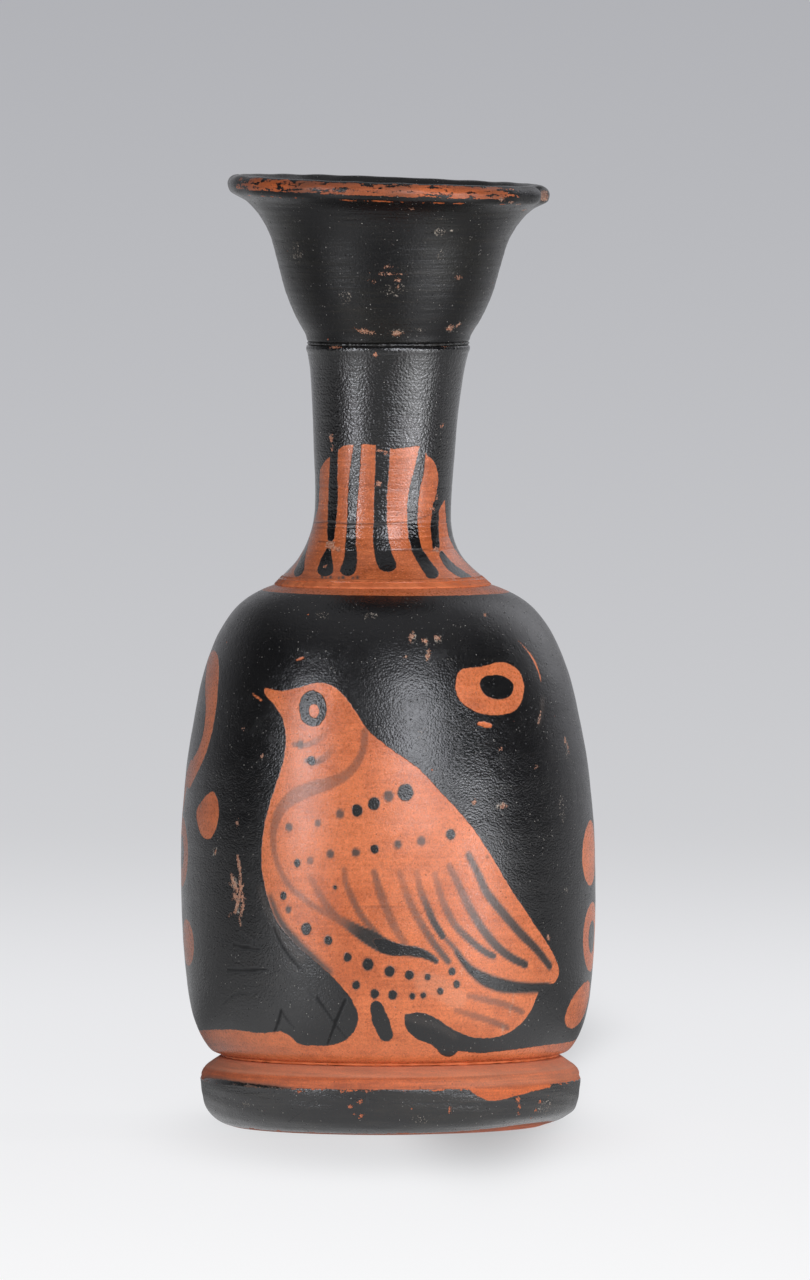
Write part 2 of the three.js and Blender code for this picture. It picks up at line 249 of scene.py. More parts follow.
# the painted state of a wall: glaze is the distance in mm inside the black, chip the distance inside
# a flaked spot; the rest are strengths: the brown of thin brush lines and of painted shade, wear where the
# black rubs off, faint where the black was laid thin or the clay is paler, on the foot's slope as painted
# light, scuff where the surface is abraded, scratch for cut lines
class Paint:
    def __init__(self, wall, middle=0.0):
        self.wall = wall
        self.points = wall.plane(middle)
        count = len(self.points)
        self.glaze = np.full(count, paintReach)
        self.chip = np.full(count, -paintReach)
        self.washAndShade, self.wear, self.faint, self.scuff, self.scratch = np.zeros((5, count))

    # a measure worked out only near a line, and far outside elsewhere
    def near(self, line, margin, measure):
        low = line.min(axis=0) - margin
        high = line.max(axis=0) + margin
        close = np.all((self.points > low) & (self.points < high), axis=1)
        value = np.full(len(self.points), -paintReach)
        if close.any():
            value[close] = np.clip(measure(self.points[close]), -paintReach, paintReach)
        return value

    # distance inside a closed outline
    def area(self, outline):
        def measure(points):
            distance, _ = lineDistance(points, np.vstack([outline, outline[:1]]))
            return np.where(insideOutline(points, outline), distance, -distance)
        return self.near(outline, paintReach, measure)

    # distance inside a brush stroke, whose half widths are spread along its middle line
    def stroke(self, line, halfWidths):
        def measure(points):
            distance, along = lineDistance(points, line)
            return np.interp(along, np.linspace(0, 1, len(halfWidths)), halfWidths) - distance
        return self.near(line, paintReach + max(halfWidths), measure)

    # how far along a line each point lies, 0 to 1
    def share(self, line):
        return lineDistance(self.points, line[:: max(1, len(line) // 12)])[1]

    # distance inside a turned ellipse
    def spot(self, centre, radii, turn=0.0):
        def measure(points):
            offset = points - centre
            c, s = math.cos(turn), math.sin(turn)
            u = (offset[:, 0] * c + offset[:, 1] * s) / radii[0]
            v = (offset[:, 1] * c - offset[:, 0] * s) / radii[1]
            return (1 - np.hypot(u, v)) * min(radii)
        return self.near(np.asarray([centre]), paintReach + max(radii), measure)

    def leaveBare(self, shape):
        self.glaze = np.minimum(self.glaze, -shape)

    def paintBlack(self, shape):
        self.glaze = np.maximum(self.glaze, shape)

    # brown laid over the clay: thin brush lines, and in places painted shade
    def paintWashAndShade(self, shape, strength, softness=0.17):
        self.washAndShade = np.maximum(self.washAndShade, strength * smoothStep(shape, -softness, softness))

    def layFaint(self, shape, strength, softness=0.5):
        self.faint = np.maximum(self.faint, strength * smoothStep(shape, -softness, softness))

    def flakeOff(self, shape):
        self.chip = np.maximum(self.chip, shape)

    # flakes, scrapes, scuffs and cuts placed by photograph pixels; only the cuts' half widths are in mm
    def damage(self, marks):
        pixel = 1 / pixelsPerMm
        for x, y, wide, tall, turn in marks.get("flakes", []):
            centre = self.wall.fromPixels([(x, y)])[0]
            self.flakeOff(self.spot(centre, (wide * pixel, tall * pixel), math.radians(-turn)))
        for points, width in marks.get("scrapes", []):
            line = smoothLine(self.wall.fromPixels(points), 0.3)
            self.flakeOff(self.stroke(line, np.array((0.6, 1.0, 0.6)) * width * pixel))
        for x, y, wide, tall, strength in marks.get("scuffs", []):
            centre = self.wall.fromPixels([(x, y)])[0]
            shape = self.spot(centre, (wide * pixel, tall * pixel))
            self.scuff = np.maximum(self.scuff, strength * smoothStep(shape, -0.2, 0.25))
        for points, width, strength in marks.get("cuts", []):
            shape = self.stroke(smoothLine(self.wall.fromPixels(points), 0.3), (width, width, 0.6 * width))
            self.scratch = np.maximum(self.scratch, strength * smoothStep(shape, -0.12, 0.12))

    # the bare shapes of a coat worked out round another middle angle are bare here too
    def takeBare(self, other):
        self.glaze = np.minimum(self.glaze, other.glaze)


# angles round a piece: close together at the front, where it is painted finely, wider behind
def columnAngles(frontHalf, frontCount, backCount):
    half = math.radians(frontHalf)
    front = np.linspace(-half, half, frontCount, endpoint=False)
    back = np.linspace(half, 2 * math.pi - half, backCount, endpoint=False)
    return np.concatenate([front, back])


# a profile of (radius, height) turned round the wandering axis: angle 0 faces the viewer, and positive
# angles are to the right
def turned(profile, angles, relief=None):
    tangent = np.gradient(profile, axis=0)
    tangent /= np.maximum(np.hypot(*tangent.T), 1e-9)[:, None]
    r = np.repeat(profile[:, :1], len(angles), axis=1)
    z = np.repeat(profile[:, 1:], len(angles), axis=1)
    a = np.repeat(angles[None, :], len(profile), axis=0)
    if relief is not None:
        lift = relief(a, r, z)
        r = r + lift * tangent[:, 1:]
        z = z - lift * tangent[:, :1]
    x = r * np.sin(a)
    share = np.clip((z - mouthBase) / (hand["rimHeight"] - mouthBase), 0, None)
    tilted = z - math.tan(math.radians(hand["rimTilt"])) * share * x
    return np.stack([x + lean(z), -r * np.cos(a), tilted], axis=-1)


capShare = 0.004           # share of the map's height that a closing fan takes


# a grid of points made one closed mesh: columns wrap round, rows wrap or end in a middle point at each end
def gridMesh(name, grid, wrapRows, ends=None):
    rows, columns = grid.shape[:2]
    i, j = np.meshgrid(np.arange(rows if wrapRows else rows - 1), np.arange(columns), indexing="ij")
    i, j = i.ravel(), j.ravel()
    up, on = (i + 1) % rows, (j + 1) % columns
    quads = np.column_stack([i * columns + j, i * columns + on, up * columns + on, up * columns + j])
    faces = quads.tolist()
    corners = np.stack([np.column_stack([j, j + 1, j + 1, j]) / columns,
                        np.column_stack([i, i, i + 1, i + 1]) / rows], axis=-1).reshape(-1, 2)
    points = grid.reshape(-1, 3)
    if ends is not None:
        ring = np.arange(columns)
        follow = (ring + 1) % columns
        top = (rows - 1) * columns
        low, high = len(points), len(points) + 1
        points = np.vstack([points, ends])
        faces += np.column_stack([follow, ring, np.full(columns, low)]).tolist()
        faces += np.column_stack([top + ring, top + follow, np.full(columns, high)]).tolist()
        share = np.column_stack([ring + 1, ring, ring + 0.5]) / columns
        lowCorners = np.stack([share, np.tile([capShare, capShare, 0.0], (columns, 1))], axis=-1)
        share = np.column_stack([ring, ring + 1, ring + 0.5]) / columns
        highCorners = np.stack([share, np.tile([1 - capShare, 1 - capShare, 1.0], (columns, 1))], axis=-1)
        corners = np.vstack([corners, lowCorners.reshape(-1, 2), highCorners.reshape(-1, 2)])
    mesh = bpy.data.meshes.new(name)
    mesh.from_pydata((points * mm).tolist(), [], faces, shade_flat=False)
    mesh.uv_layers.new(name="OFBake").data.foreach_set("uv", corners.astype(np.float32).ravel())
    return mesh


def setAttribute(mesh, name, values):
    padded = np.zeros(len(mesh.vertices), np.float32)
    padded[: len(values)] = values
    mesh.attributes.new(name, "FLOAT", "POINT").data.foreach_set("value", padded)


def addPiece(name, mesh, node, material):
    mesh.materials.append(material)
    piece = bpy.data.objects.new(name, mesh)
    bpy.context.collection.objects.link(piece)
    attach(piece, "root")
    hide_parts(node)
    print("made", name, "with", len(mesh.polygons), "faces")


# puts a wall's paint on the mesh: rows under the wall and rows after it take plain values
def setPaint(mesh, paint, before, after, columns, innerGlaze):
    def spread(values, under, inner):
        return np.concatenate([np.full(before * columns, under), values, np.full(after * columns, inner)])
    setAttribute(mesh, "glaze", spread(paint.glaze, -paintReach, innerGlaze))
    setAttribute(mesh, "chip", spread(paint.chip, -paintReach, -paintReach))
    for name in ("washAndShade", "wear", "faint", "scuff", "scratch"):
        setAttribute(mesh, name, spread(getattr(paint, name), 0.0, 0.0))


# shader sockets that can be added and multiplied: each operator adds one Math node
class Wire:
    def __init__(self, finish, socket):
        self.finish = finish
        self.socket = socket

    def __add__(self, other):
        return self.finish.maths("ADD", self, other)

    def __radd__(self, other):
        return self.finish.maths("ADD", other, self)

    def __sub__(self, other):
        return self.finish.maths("SUBTRACT", self, other)

    def __rsub__(self, other):
        return self.finish.maths("SUBTRACT", other, self)

    def __mul__(self, other):
        return self.finish.maths("MULTIPLY", self, other)

    def __rmul__(self, other):
        return self.finish.maths("MULTIPLY", other, self)

    def __truediv__(self, other):
        return self.finish.maths("DIVIDE", self, other)

    def __rtruediv__(self, other):
        return self.finish.maths("DIVIDE", other, self)


# a node tree, with short methods for the nodes that the finishes use
class Finish:
    def __init__(self, tree):
        self.tree = tree
        tree.nodes.clear()

    # any node: its settings are set first, then its sockets are given values or wires
    def node(self, kind, settings=None, sockets=None, output=0):
        made = self.tree.nodes.new(kind)
        for name, value in (settings or {}).items():
            setattr(made, name, value)
        for key, value in (sockets or {}).items():
            if isinstance(value, Wire):
                self.tree.links.new(value.socket, made.inputs[key])
            else:
                made.inputs[key].default_value = value
        return Wire(self, made.outputs[output]) if len(made.outputs) else made

    def maths(self, operation, first, second=0.0):
        return self.node("ShaderNodeMath", dict(operation=operation), {0: first, 1: second})

    def most(self, first, second):
        return self.maths("MAXIMUM", first, second)

    def step(self, value, low, high):
        return self.node("ShaderNodeMapRange", dict(interpolation_type="SMOOTHSTEP"),
                         {"Value": value, "From Min": low, "From Max": high})

    def blend(self, share, first, second):
        return self.node("ShaderNodeMix", dict(data_type="RGBA"), {0: share, 6: first, 7: second}, output=2)

    def attribute(self, name):
        return self.node("ShaderNodeAttribute", dict(attribute_name=name), output="Fac")

    # object coordinates in mm, multiplied by a stretch
    def place(self, stretch=(1, 1, 1)):
        whole = self.node("ShaderNodeTexCoord", output="Object")
        scale = tuple(value / mm for value in stretch)
        return self.node("ShaderNodeVectorMath", dict(operation="MULTIPLY"), {0: whole, 1: scale})

    def noise(self, place, scale, detail=2.0, roughness=0.5):
        return self.node("ShaderNodeTexNoise", None, {"Vector": place, "Scale": scale, "Detail": detail,
                                                      "Roughness": roughness}, output="Fac")

    def scaled(self, colour, factor):
        return self.node("ShaderNodeVectorMath", dict(operation="SCALE"), {0: colour, "Scale": factor})

    def dot(self, first, second):
        return self.node("ShaderNodeVectorMath", dict(operation="DOT_PRODUCT"), {0: first, 1: second},
                         "Value")

    def length(self, vector):
        return self.node("ShaderNodeVectorMath", dict(operation="LENGTH"), {0: vector}, "Value")

    # 1 for rays of the named kind
    def ray(self, kind):
        return self.node("ShaderNodeLightPath", None, None, kind)

    # the end of a piece's material: the height in mm as a bump, the shader and the output
    def surface(self, colour, rough, height, constants=None):
        normal = self.node("ShaderNodeBump", None, {"Strength": 1.0, "Distance": mm, "Height": height})
        sockets = {"Base Color": colour, "Roughness": rough, "Normal": normal, **(constants or {})}
        shader = self.node("ShaderNodeBsdfPrincipled", None, sockets)
        self.node("ShaderNodeOutputMaterial", None, {"Surface": shader})

    # scattered round grains: how near the middle of one, for the given share of cells
    def grains(self, place, scale, radius, share):
        settings = dict(feature="F1")
        sockets = {"Vector": place, "Scale": scale, "Randomness": 1.0}
        distance = self.node("ShaderNodeTexVoronoi", settings, sockets, output="Distance")
        colour = self.node("ShaderNodeTexVoronoi", settings, sockets, output="Color")
        channels = self.node("ShaderNodeSeparateColor", None, {0: colour}, output=0)
        chosen = self.maths("LESS_THAN", channels, share)
        return chosen * (1 - self.step(distance, 0.5 * radius * scale, radius * scale))


def newMaterial(name):
    material = bpy.data.materials.new(name)
    material.use_nodes = True
    return material, Finish(material.node_tree)


# colours are linear
claySet = dict(
    light=(0.668, 0.182, 0.066, 1),
    deep=(0.535, 0.130, 0.042, 1),
    pale=(0.74, 0.40, 0.27, 1),
    pit=(0.12, 0.034, 0.018, 1),
    broken=(0.38, 0.30, 0.23, 1),
)
glossSet = dict(
    black=(0.0050, 0.0051, 0.0058, 1),
    film=(0.060, 0.050, 0.045, 1),
    thin=(0.070, 0.030, 0.018, 1),
    brown=(0.112, 0.060, 0.043, 1),
    dark=(0.022, 0.017, 0.015, 1),
    glint=(0.36, 0.345, 0.32, 1),
    scuffed=(0.15, 0.128, 0.108, 1),
    chalk=(0.52, 0.46, 0.40, 1),
    cut=(0.0025, 0.0025, 0.0025, 1),
)
glossIor = 1.6


# painted red clay: the black gloss lies where glaze is above zero; wear, chips and scuffs break it
def paintedFinish(name, look):
    material, finish = newMaterial(name)
    place = finish.place()
    wheel = finish.place((0.05, 0.05, 1.0))        # drawn out round the pot, for lines left by the wheel
    streaky = finish.place((0.30, 0.30, 1.3))
    broad = finish.noise(place, 0.09, 3.0)
    middle = finish.noise(place, 0.45, 4.0)
    fine = finish.noise(place, 2.2, 4.0, 0.6)
    grit = finish.noise(place, 4.5, 2.0, 0.6)
    lines = finish.noise(wheel, 2.2, 4.0, 0.65)
    streaks = finish.noise(streaky, 1.4, 3.0, 0.6)
    scratch = finish.attribute("scratch")
    faint = finish.attribute("faint")

    edge = finish.attribute("glaze") + (finish.noise(place, 1.3, 2.0) - 0.5) * 0.34
    rag = (finish.noise(place, 1.9, 3.0, 0.7) - 0.5) * 1.1 + (grit - 0.5) * 0.9
    flaked = finish.step(finish.attribute("chip") + rag, -0.04, 0.08)
    wear = finish.attribute("wear")
    worn = wear * 1.1 + ((fine - 0.5) * 1.2 + (streaks - 0.5) * 2.4) * finish.step(wear, 0.0, 0.3)
    rubbed = finish.step(worn, 0.50, 0.60)
    scuff = finish.attribute("scuff")
    abraded = scuff + (grit - 0.5) * 1.8 + (fine - 0.5) * 1.6
    scuffed = finish.step(abraded, 0.55, 0.80)
    # painted glints: pale spots in the gloss stand for glints off tiny pits; they also stand a little proud
    # and rougher
    glintSpecks = finish.grains(place, look["glintScale"], look["glintSize"], look["glintShare"])
    glintSpecks = glintSpecks * (0.2 + 0.8 * finish.step(middle, 0.42, 0.62))
    dots = finish.grains(place, 0.33, 0.18, 0.15)
    pocks = finish.grains(place, 1.25, 0.17, 0.45) * finish.step(streaks, 0.38, 0.60)
    covered = finish.step(edge, -0.07, 0.07) * (1 - rubbed) * (1 - flaked) * (1 - 0.85 * dots)

    # the clay: mottled and grainy, streaked by the wheel, with fine dark pits, and painted shade and painted
    # light where set
    pits = finish.grains(place, 1.1, 0.15, 0.45) * finish.step(middle, 0.38, 0.58)
    tone = finish.step(broad * 0.5 + middle * 0.25 + lines * 0.25, 0.37, 0.57)
    clay = finish.blend(tone, claySet["deep"], claySet["light"])
    shade = 1 + (middle - 0.5) * 0.3 + (fine - 0.5) * 0.6 + (grit - 0.5) * 1.1
    shade = shade + (lines - 0.5) * look["lineShade"]
    # each piece's clay tint; on the neck and the foot it is partly painted shade
    clay = finish.node("ShaderNodeVectorMath", dict(operation="MULTIPLY"), {0: clay, 1: look["clayTintAndShade"]})
    clay = finish.scaled(clay, shade)
    clay = finish.blend(finish.most(pits * 0.65, scratch * 0.9), clay, claySet["pit"])
    # paler where abraded, and where faint is set; on the foot's up-facing slope that is painted light
    clay = finish.blend(finish.most(scuffed * 0.8, faint * 0.4), clay, claySet["pale"])
    broken = flaked * finish.step(grit * 0.5 + fine * 0.5, 0.36, 0.52) * look["broken"]
    clay = finish.blend(broken, clay, claySet["broken"])
    hollows = finish.step(middle * 0.4 + grit * 0.6, 0.54, 0.40)
    clay = finish.blend(flaked * hollows * 0.75, clay, claySet["pit"])
    # brown over the clay: thin brush lines, and painted shade on the shoulder band, the ring and low on the
    # left
    washAndShade = finish.attribute("washAndShade")
    clay = finish.blend(washAndShade * (0.92 + (fine - 0.5) * 0.9), clay, glossSet["brown"])
    clay = finish.blend(finish.step(washAndShade, 0.9, 1.6), clay, glossSet["dark"])

    # the gloss: blue-black where thick, browner at its edges, grey where it is thin or scuffed, with painted
    # glints
    dull = finish.step(broad * 0.5 + lines * 0.5, 0.44, 0.62) * look["dullness"]
    black = finish.blend(dull, glossSet["black"], look["dullColour"])
    black = finish.blend(faint * (0.8 + (fine - 0.5)), black, glossSet["film"])
    rubbing = finish.blend(finish.step(streaks, 0.42, 0.62), glossSet["scuffed"], glossSet["chalk"])
    black = finish.blend(scuffed * 0.85, black, rubbing)
    black = finish.blend(finish.step(grit, 0.50, 0.78) * look["grain"], black, glossSet["film"])
    black = finish.blend(finish.step(lines, 0.54, 0.78) * look["lineShade"] * 0.22, black, glossSet["film"])
    # pale spots painted as glints
    black = finish.blend(glintSpecks, black, glossSet["glint"])
    black = finish.blend(scratch * 0.8, black, glossSet["cut"])
    black = finish.blend(finish.step(edge, 0.02, 0.14), glossSet["thin"], black)
    colour = finish.blend(covered, clay, black)

    glossRough = look["roughness"] + (middle - 0.5) * 0.20 + (broad - 0.5) * 0.1 + glintSpecks * 0.3
    glossRough = glossRough + pocks * 0.45 + scuffed * 0.25 + scratch * 0.8
    clayRough = look["clayRough"] + (fine - 0.5) * 0.4
    rough = covered * glossRough + (1 - covered) * clayRough

    # height in mm: fine pebbling, wheel lines and grain, with pits, cuts and chips sunk
    pebble = finish.node("ShaderNodeTexVoronoi", dict(feature="SMOOTH_F1"),
                         {"Vector": place, "Scale": look["peelScale"], "Smoothness": 0.3}, output="Distance")
    peel = (0.4 - pebble) * look["peel"] * (0.4 + 1.2 * fine) + (middle - 0.5) * look["waves"]
    height = peel * (0.35 + 0.65 * covered) + (lines - 0.5) * look["wheelLines"] + (grit - 0.5) * look["grit"]
    height = height + covered * 0.02 - pits * (1 - covered) * 0.03 - dots * 0.02 + glintSpecks * 0.012
    height = height - pocks * covered * 0.03 - flaked * (0.05 + (fine - 0.5) * 0.2) - scratch * 0.03
    finish.surface(colour, rough, height, {"IOR": glossIor, "Specular IOR Level": look["shine"]})
    return material


# how each piece's surface differs: heights in mm, scales per mm; what the others don't name is as on the body
bodyLook = dict(
    roughness=0.24,        # of the gloss
    shine=0.5,
    dullness=0.35,         # how far the gloss turns to its duller colour in patches
    dullColour=(0.0085, 0.0085, 0.0085, 1),
    grain=0.16,            # grey grain in the gloss
    peel=0.034,            # pebbling, then broad waves, grit and lines left by the wheel
    peelScale=3.2,
    waves=0.05,
    grit=0.024,
    wheelLines=0.006,
    glintScale=1.5,        # painted glints: pale spots for glints off tiny pits, their radius and the share of cells that has one
    glintSize=0.10,
    glintShare=0.5,
    clayTintAndShade=(1.0, 1.0, 1.0),
    clayRough=0.30,
    lineShade=0.35,        # how strongly the wheel's lines show in the colours
    broken=0.65,           # how grey the clay is where the gloss has flaked off
)
# the neck's clay is tinted darker, partly as painted shade under the mouth
neckLook = dict(bodyLook, roughness=0.08, shine=0.60, dullColour=(0.009, 0.009, 0.009, 1), peel=0.048,
                peelScale=2.7, waves=0.04, grit=0.030, wheelLines=0.055, glintScale=1.3, glintShare=0.35,
                clayTintAndShade=(0.82, 0.78, 0.72), clayRough=0.22, lineShade=0.7, broken=0.4)
mouthLook = dict(bodyLook, shine=0.23, dullness=0.85, dullColour=(0.0062, 0.0060, 0.0047, 1), grain=0.22,
                 peel=0.024, waves=0.03, grit=0.028, wheelLines=0.110, glintShare=0.55,
                 clayTintAndShade=(0.84, 0.76, 0.66), clayRough=0.17, lineShade=0.8, broken=0.7)
# the foot's clay is tinted darker, partly as painted shade on its step, which faces sideways
footLook = dict(bodyLook, shine=0.58, dullness=0.90, dullColour=(0.016, 0.0150, 0.0130, 1), grain=0.22,
                peel=0.028, waves=0.06, wheelLines=0.050, glintScale=1.4, glintSize=0.11,
                clayTintAndShade=(0.84, 0.70, 0.55), clayRough=0.68, lineShade=1.3, broken=0.2)


# a thrown piece: its rows under the painted wall, on it and inside are turned as one closed outline
def addThrown(name, node, rows, angles, relief, paint, innerGlaze, look, ends=None):
    under, _, inner = rows
    mesh = gridMesh(name, turned(np.vstack(rows), angles, relief), ends is None, ends)
    setPaint(mesh, paint, len(under), len(inner), len(angles), innerGlaze)
    addPiece(name, mesh, node, paintedFinish(node + "_gloss", look))


# the foot: a rounded side up to an arris, a low step with turned lines, a slope up to the groove
foot = dict(
    columns=(80, 230, 130),    # degrees of the front half, columns in front and behind
    restWidth=3.3,
    seatInner=16.0,
    recess=2.6,
    chamfer=(1.5, 2.0),    # between the recess and the seat's inner wall
    # the side up to the arris, the strip over it, the step and the slope
    runs=[[(23.7, 0.0), (25.0, 0.42), (26.2, 1.15), (27.1, 2.1), (27.65, 3.3), (27.95, 4.8), (28.12, 6.2),
           (28.18, 6.9)],
          [(28.18, 6.9), (28.08, 7.15), (28.05, 7.4)],
          [(28.05, 7.4), (27.95, 7.9), (27.6, 8.6)],
          [(27.6, 8.6), (26.95, 9.15), (26.1, 9.7), (25.3, 10.2)]],
    bareEdge=0.85,         # bare clay at the bottom edge, more where that is worn on the right
    wornAngle=1.05,
    wornDepth=0.8,
    slopeLit=(8.5, 8.9),  # heights over which the slope's clay is painted paler: painted light and sheen on the up-facing slope
    paleRight=(2.0, 16.0),     # mm round the wall from the front, where the clay turns paler too
    turnedLines=[(7.4, 0.08, 0.14), (8.6, 0.06, 0.12), (9.3, 0.02, 0.2)],    # height, depth, half width
    # thin black brushed over the step on the left, and clay left bare under the arris on the right
    smear=[(204, 1079), (216, 1081), (232, 1083.5), (250, 1085.5), (270, 1087), (292, 1088.5)],
    smearWidths=(0.35, 0.50, 0.60, 0.55, 0.45, 0.2),
    drip=[(466, 1084), (471, 1091), (478, 1096), (490, 1100.5), (501, 1099.5), (513, 1096.5), (523, 1094),
          (533, 1091), (551, 1086), (540, 1080), (500, 1082)],
    marks=dict(
        flakes=[(360, 1101, 2.4, 1.8, 0), (351, 1106.5, 2.2, 1.5, 0), (361, 1116, 2.4, 1.6, -30),
                (354, 1114, 1.6, 1.1, 0), (450, 1110, 1.5, 2.4, 0), (518, 1099, 3.0, 2.6, 0),
                (519, 1106, 1.8, 3.0, 0), (518, 1113, 1.6, 2.0, 0), (536, 1110, 2.0, 1.4, 0),
                (532, 1119, 1.3, 1.3, 0), (300, 1092, 3, 1.0, 0), (344, 1091.5, 3, 1.0, 0),
                (366, 1091, 3, 1.0, 0), (540, 1101, 1.2, 1.6, 0), (547, 1096, 1.2, 1.4, 0)],
        scuffs=[(246, 1104, 8, 5, 0.5), (420, 1120, 12, 5, 0.42), (545, 1108, 14, 10, 0.45)],
        cuts=[([(288, 1122), (306, 1108), (322, 1095)], 0.12, 0.5), ([(368, 1096), (366, 1112)], 0.1, 0.5)],
    ),
)


def makeFoot():
    outer = cornered(foot["runs"], 0.2)
    restRadius = foot["runs"][0][0][0]
    restInner = restRadius - foot["restWidth"]
    under = evenly(np.array([(restInner, 0.0), outer[0]]), 0.7)[:-1]
    seat, recess = foot["seatInner"], foot["recess"]
    chamfer = [(seat, recess + foot["chamfer"][1]), (seat + foot["chamfer"][0], recess)]
    hollow = [(outer[-1][0], footTop), (seat, footTop)] + chamfer + [(restInner, 0.0)]
    inner = evenly(np.array(hollow), 0.9)[1:-1]
    angles = columnAngles(*foot["columns"])
    wall = Wall(outer, angles)

    def relief(a, r, z):
        dip = sum(-depth * hump(z - at, width) for at, depth, width in foot["turnedLines"])
        outside = smoothStep(r, 25.6, 26.2)
        low = (1 - smoothStep(z, 0.3, 2.8)) * smoothStep(r, 22.0, 24.0)
        worn = -foot["wornDepth"] * low * hump(a - foot["wornAngle"], 0.55)
        return worn + outside * (dip + 0.05 * np.sin(2 * a + 0.7) + 0.02 * np.sin(9 * a + 3 * z))

    paint = Paint(wall)
    across, along = paint.points.T
    arris, stripTop, stepTop = [wall.lengthAt(run[-1][1]) for run in foot["runs"][:3]]
    worn = hump(across / restRadius - foot["wornAngle"], 0.45)
    bareEdge = foot["bareEdge"] + 0.3 * foot["wornDepth"] * worn
    paint.glaze = np.clip(np.minimum(along - bareEdge, arris + 0.1 - along), -paintReach, paintReach)
    smear = paint.stroke(smoothLine(wall.fromPixels(foot["smear"]), 0.4), foot["smearWidths"])
    paint.paintBlack(smear - 0.2)
    paint.paintWashAndShade(smear, 1.2, 0.55)
    paint.paintWashAndShade(foot["bareEdge"] - along, 0.45)
    paint.leaveBare(paint.area(smoothRing(wall.fromPixels(foot["drip"]), 0.3)))
    paint.paintWashAndShade(np.minimum(along - arris, stripTop - along), 0.22)
    paint.paintWashAndShade(np.minimum(along - arris, stepTop - along), 0.08)
    paint.wear = 0.36 * hump(along - arris, 0.3) + 0.34 * hump(along - 0.9, 0.6)
    rightSide = 0.5 * smoothStep(across, *foot["paleRight"])
    # the up-facing slope painted paler as painted light and sheen; the clay on the right turns paler too
    slope = smoothStep(along, *wall.lengthAt(foot["slopeLit"]))
    paint.faint = np.maximum(slope, rightSide * smoothStep(along, arris, arris + 0.5))
    paint.damage(foot["marks"])
    addThrown("foot_turned", "foot", (under, outer, inner), angles, relief, paint, -paintReach, footLook)


# the body: swelling low down, drawn in to a round shoulder; the figure is read off the photograph in pixels
body = dict(
    outer=[(25.4, 0.0), (26.45, 0.45), (27.75, 2.2), (28.9, 4.8), (29.6, 7.7), (30.08, 11.5), (30.45, 16.0),
           (30.66, 21.0), (30.7, 27.9), (30.57, 33.5), (30.2, 38.0), (29.65, 43.3), (28.6, 49.3),
           (27.35, 55.2), (25.95, 59.4), (24.4, 62.7), (22.2, 65.7), (20.3, 67.3), (18.0, 68.55),
           (15.1, 69.65)],
    columns=(66, 236, 108),
    wall=3.4,
    floor=5.0,
    middle=2.0,            # radius of the flat middle, under the floor and on it
    opening=9.0,
    underShoulder=[(12.5, -2.6), (19.5, -6.5), (23.6, -13.0)],     # heights from the top
    overFloor=[(22.5, 1.2), (17.0, 0.0)],                          # heights from the floor
    shoulderEdge=79.1,     # height where the black starts under the bare band
    shoulderTilt=0.35,
    shoulderShade=0.06,     # painted shade: how much darker and browner the clay is painted there
    groundBack=14.0,       # height of the bare band behind
)
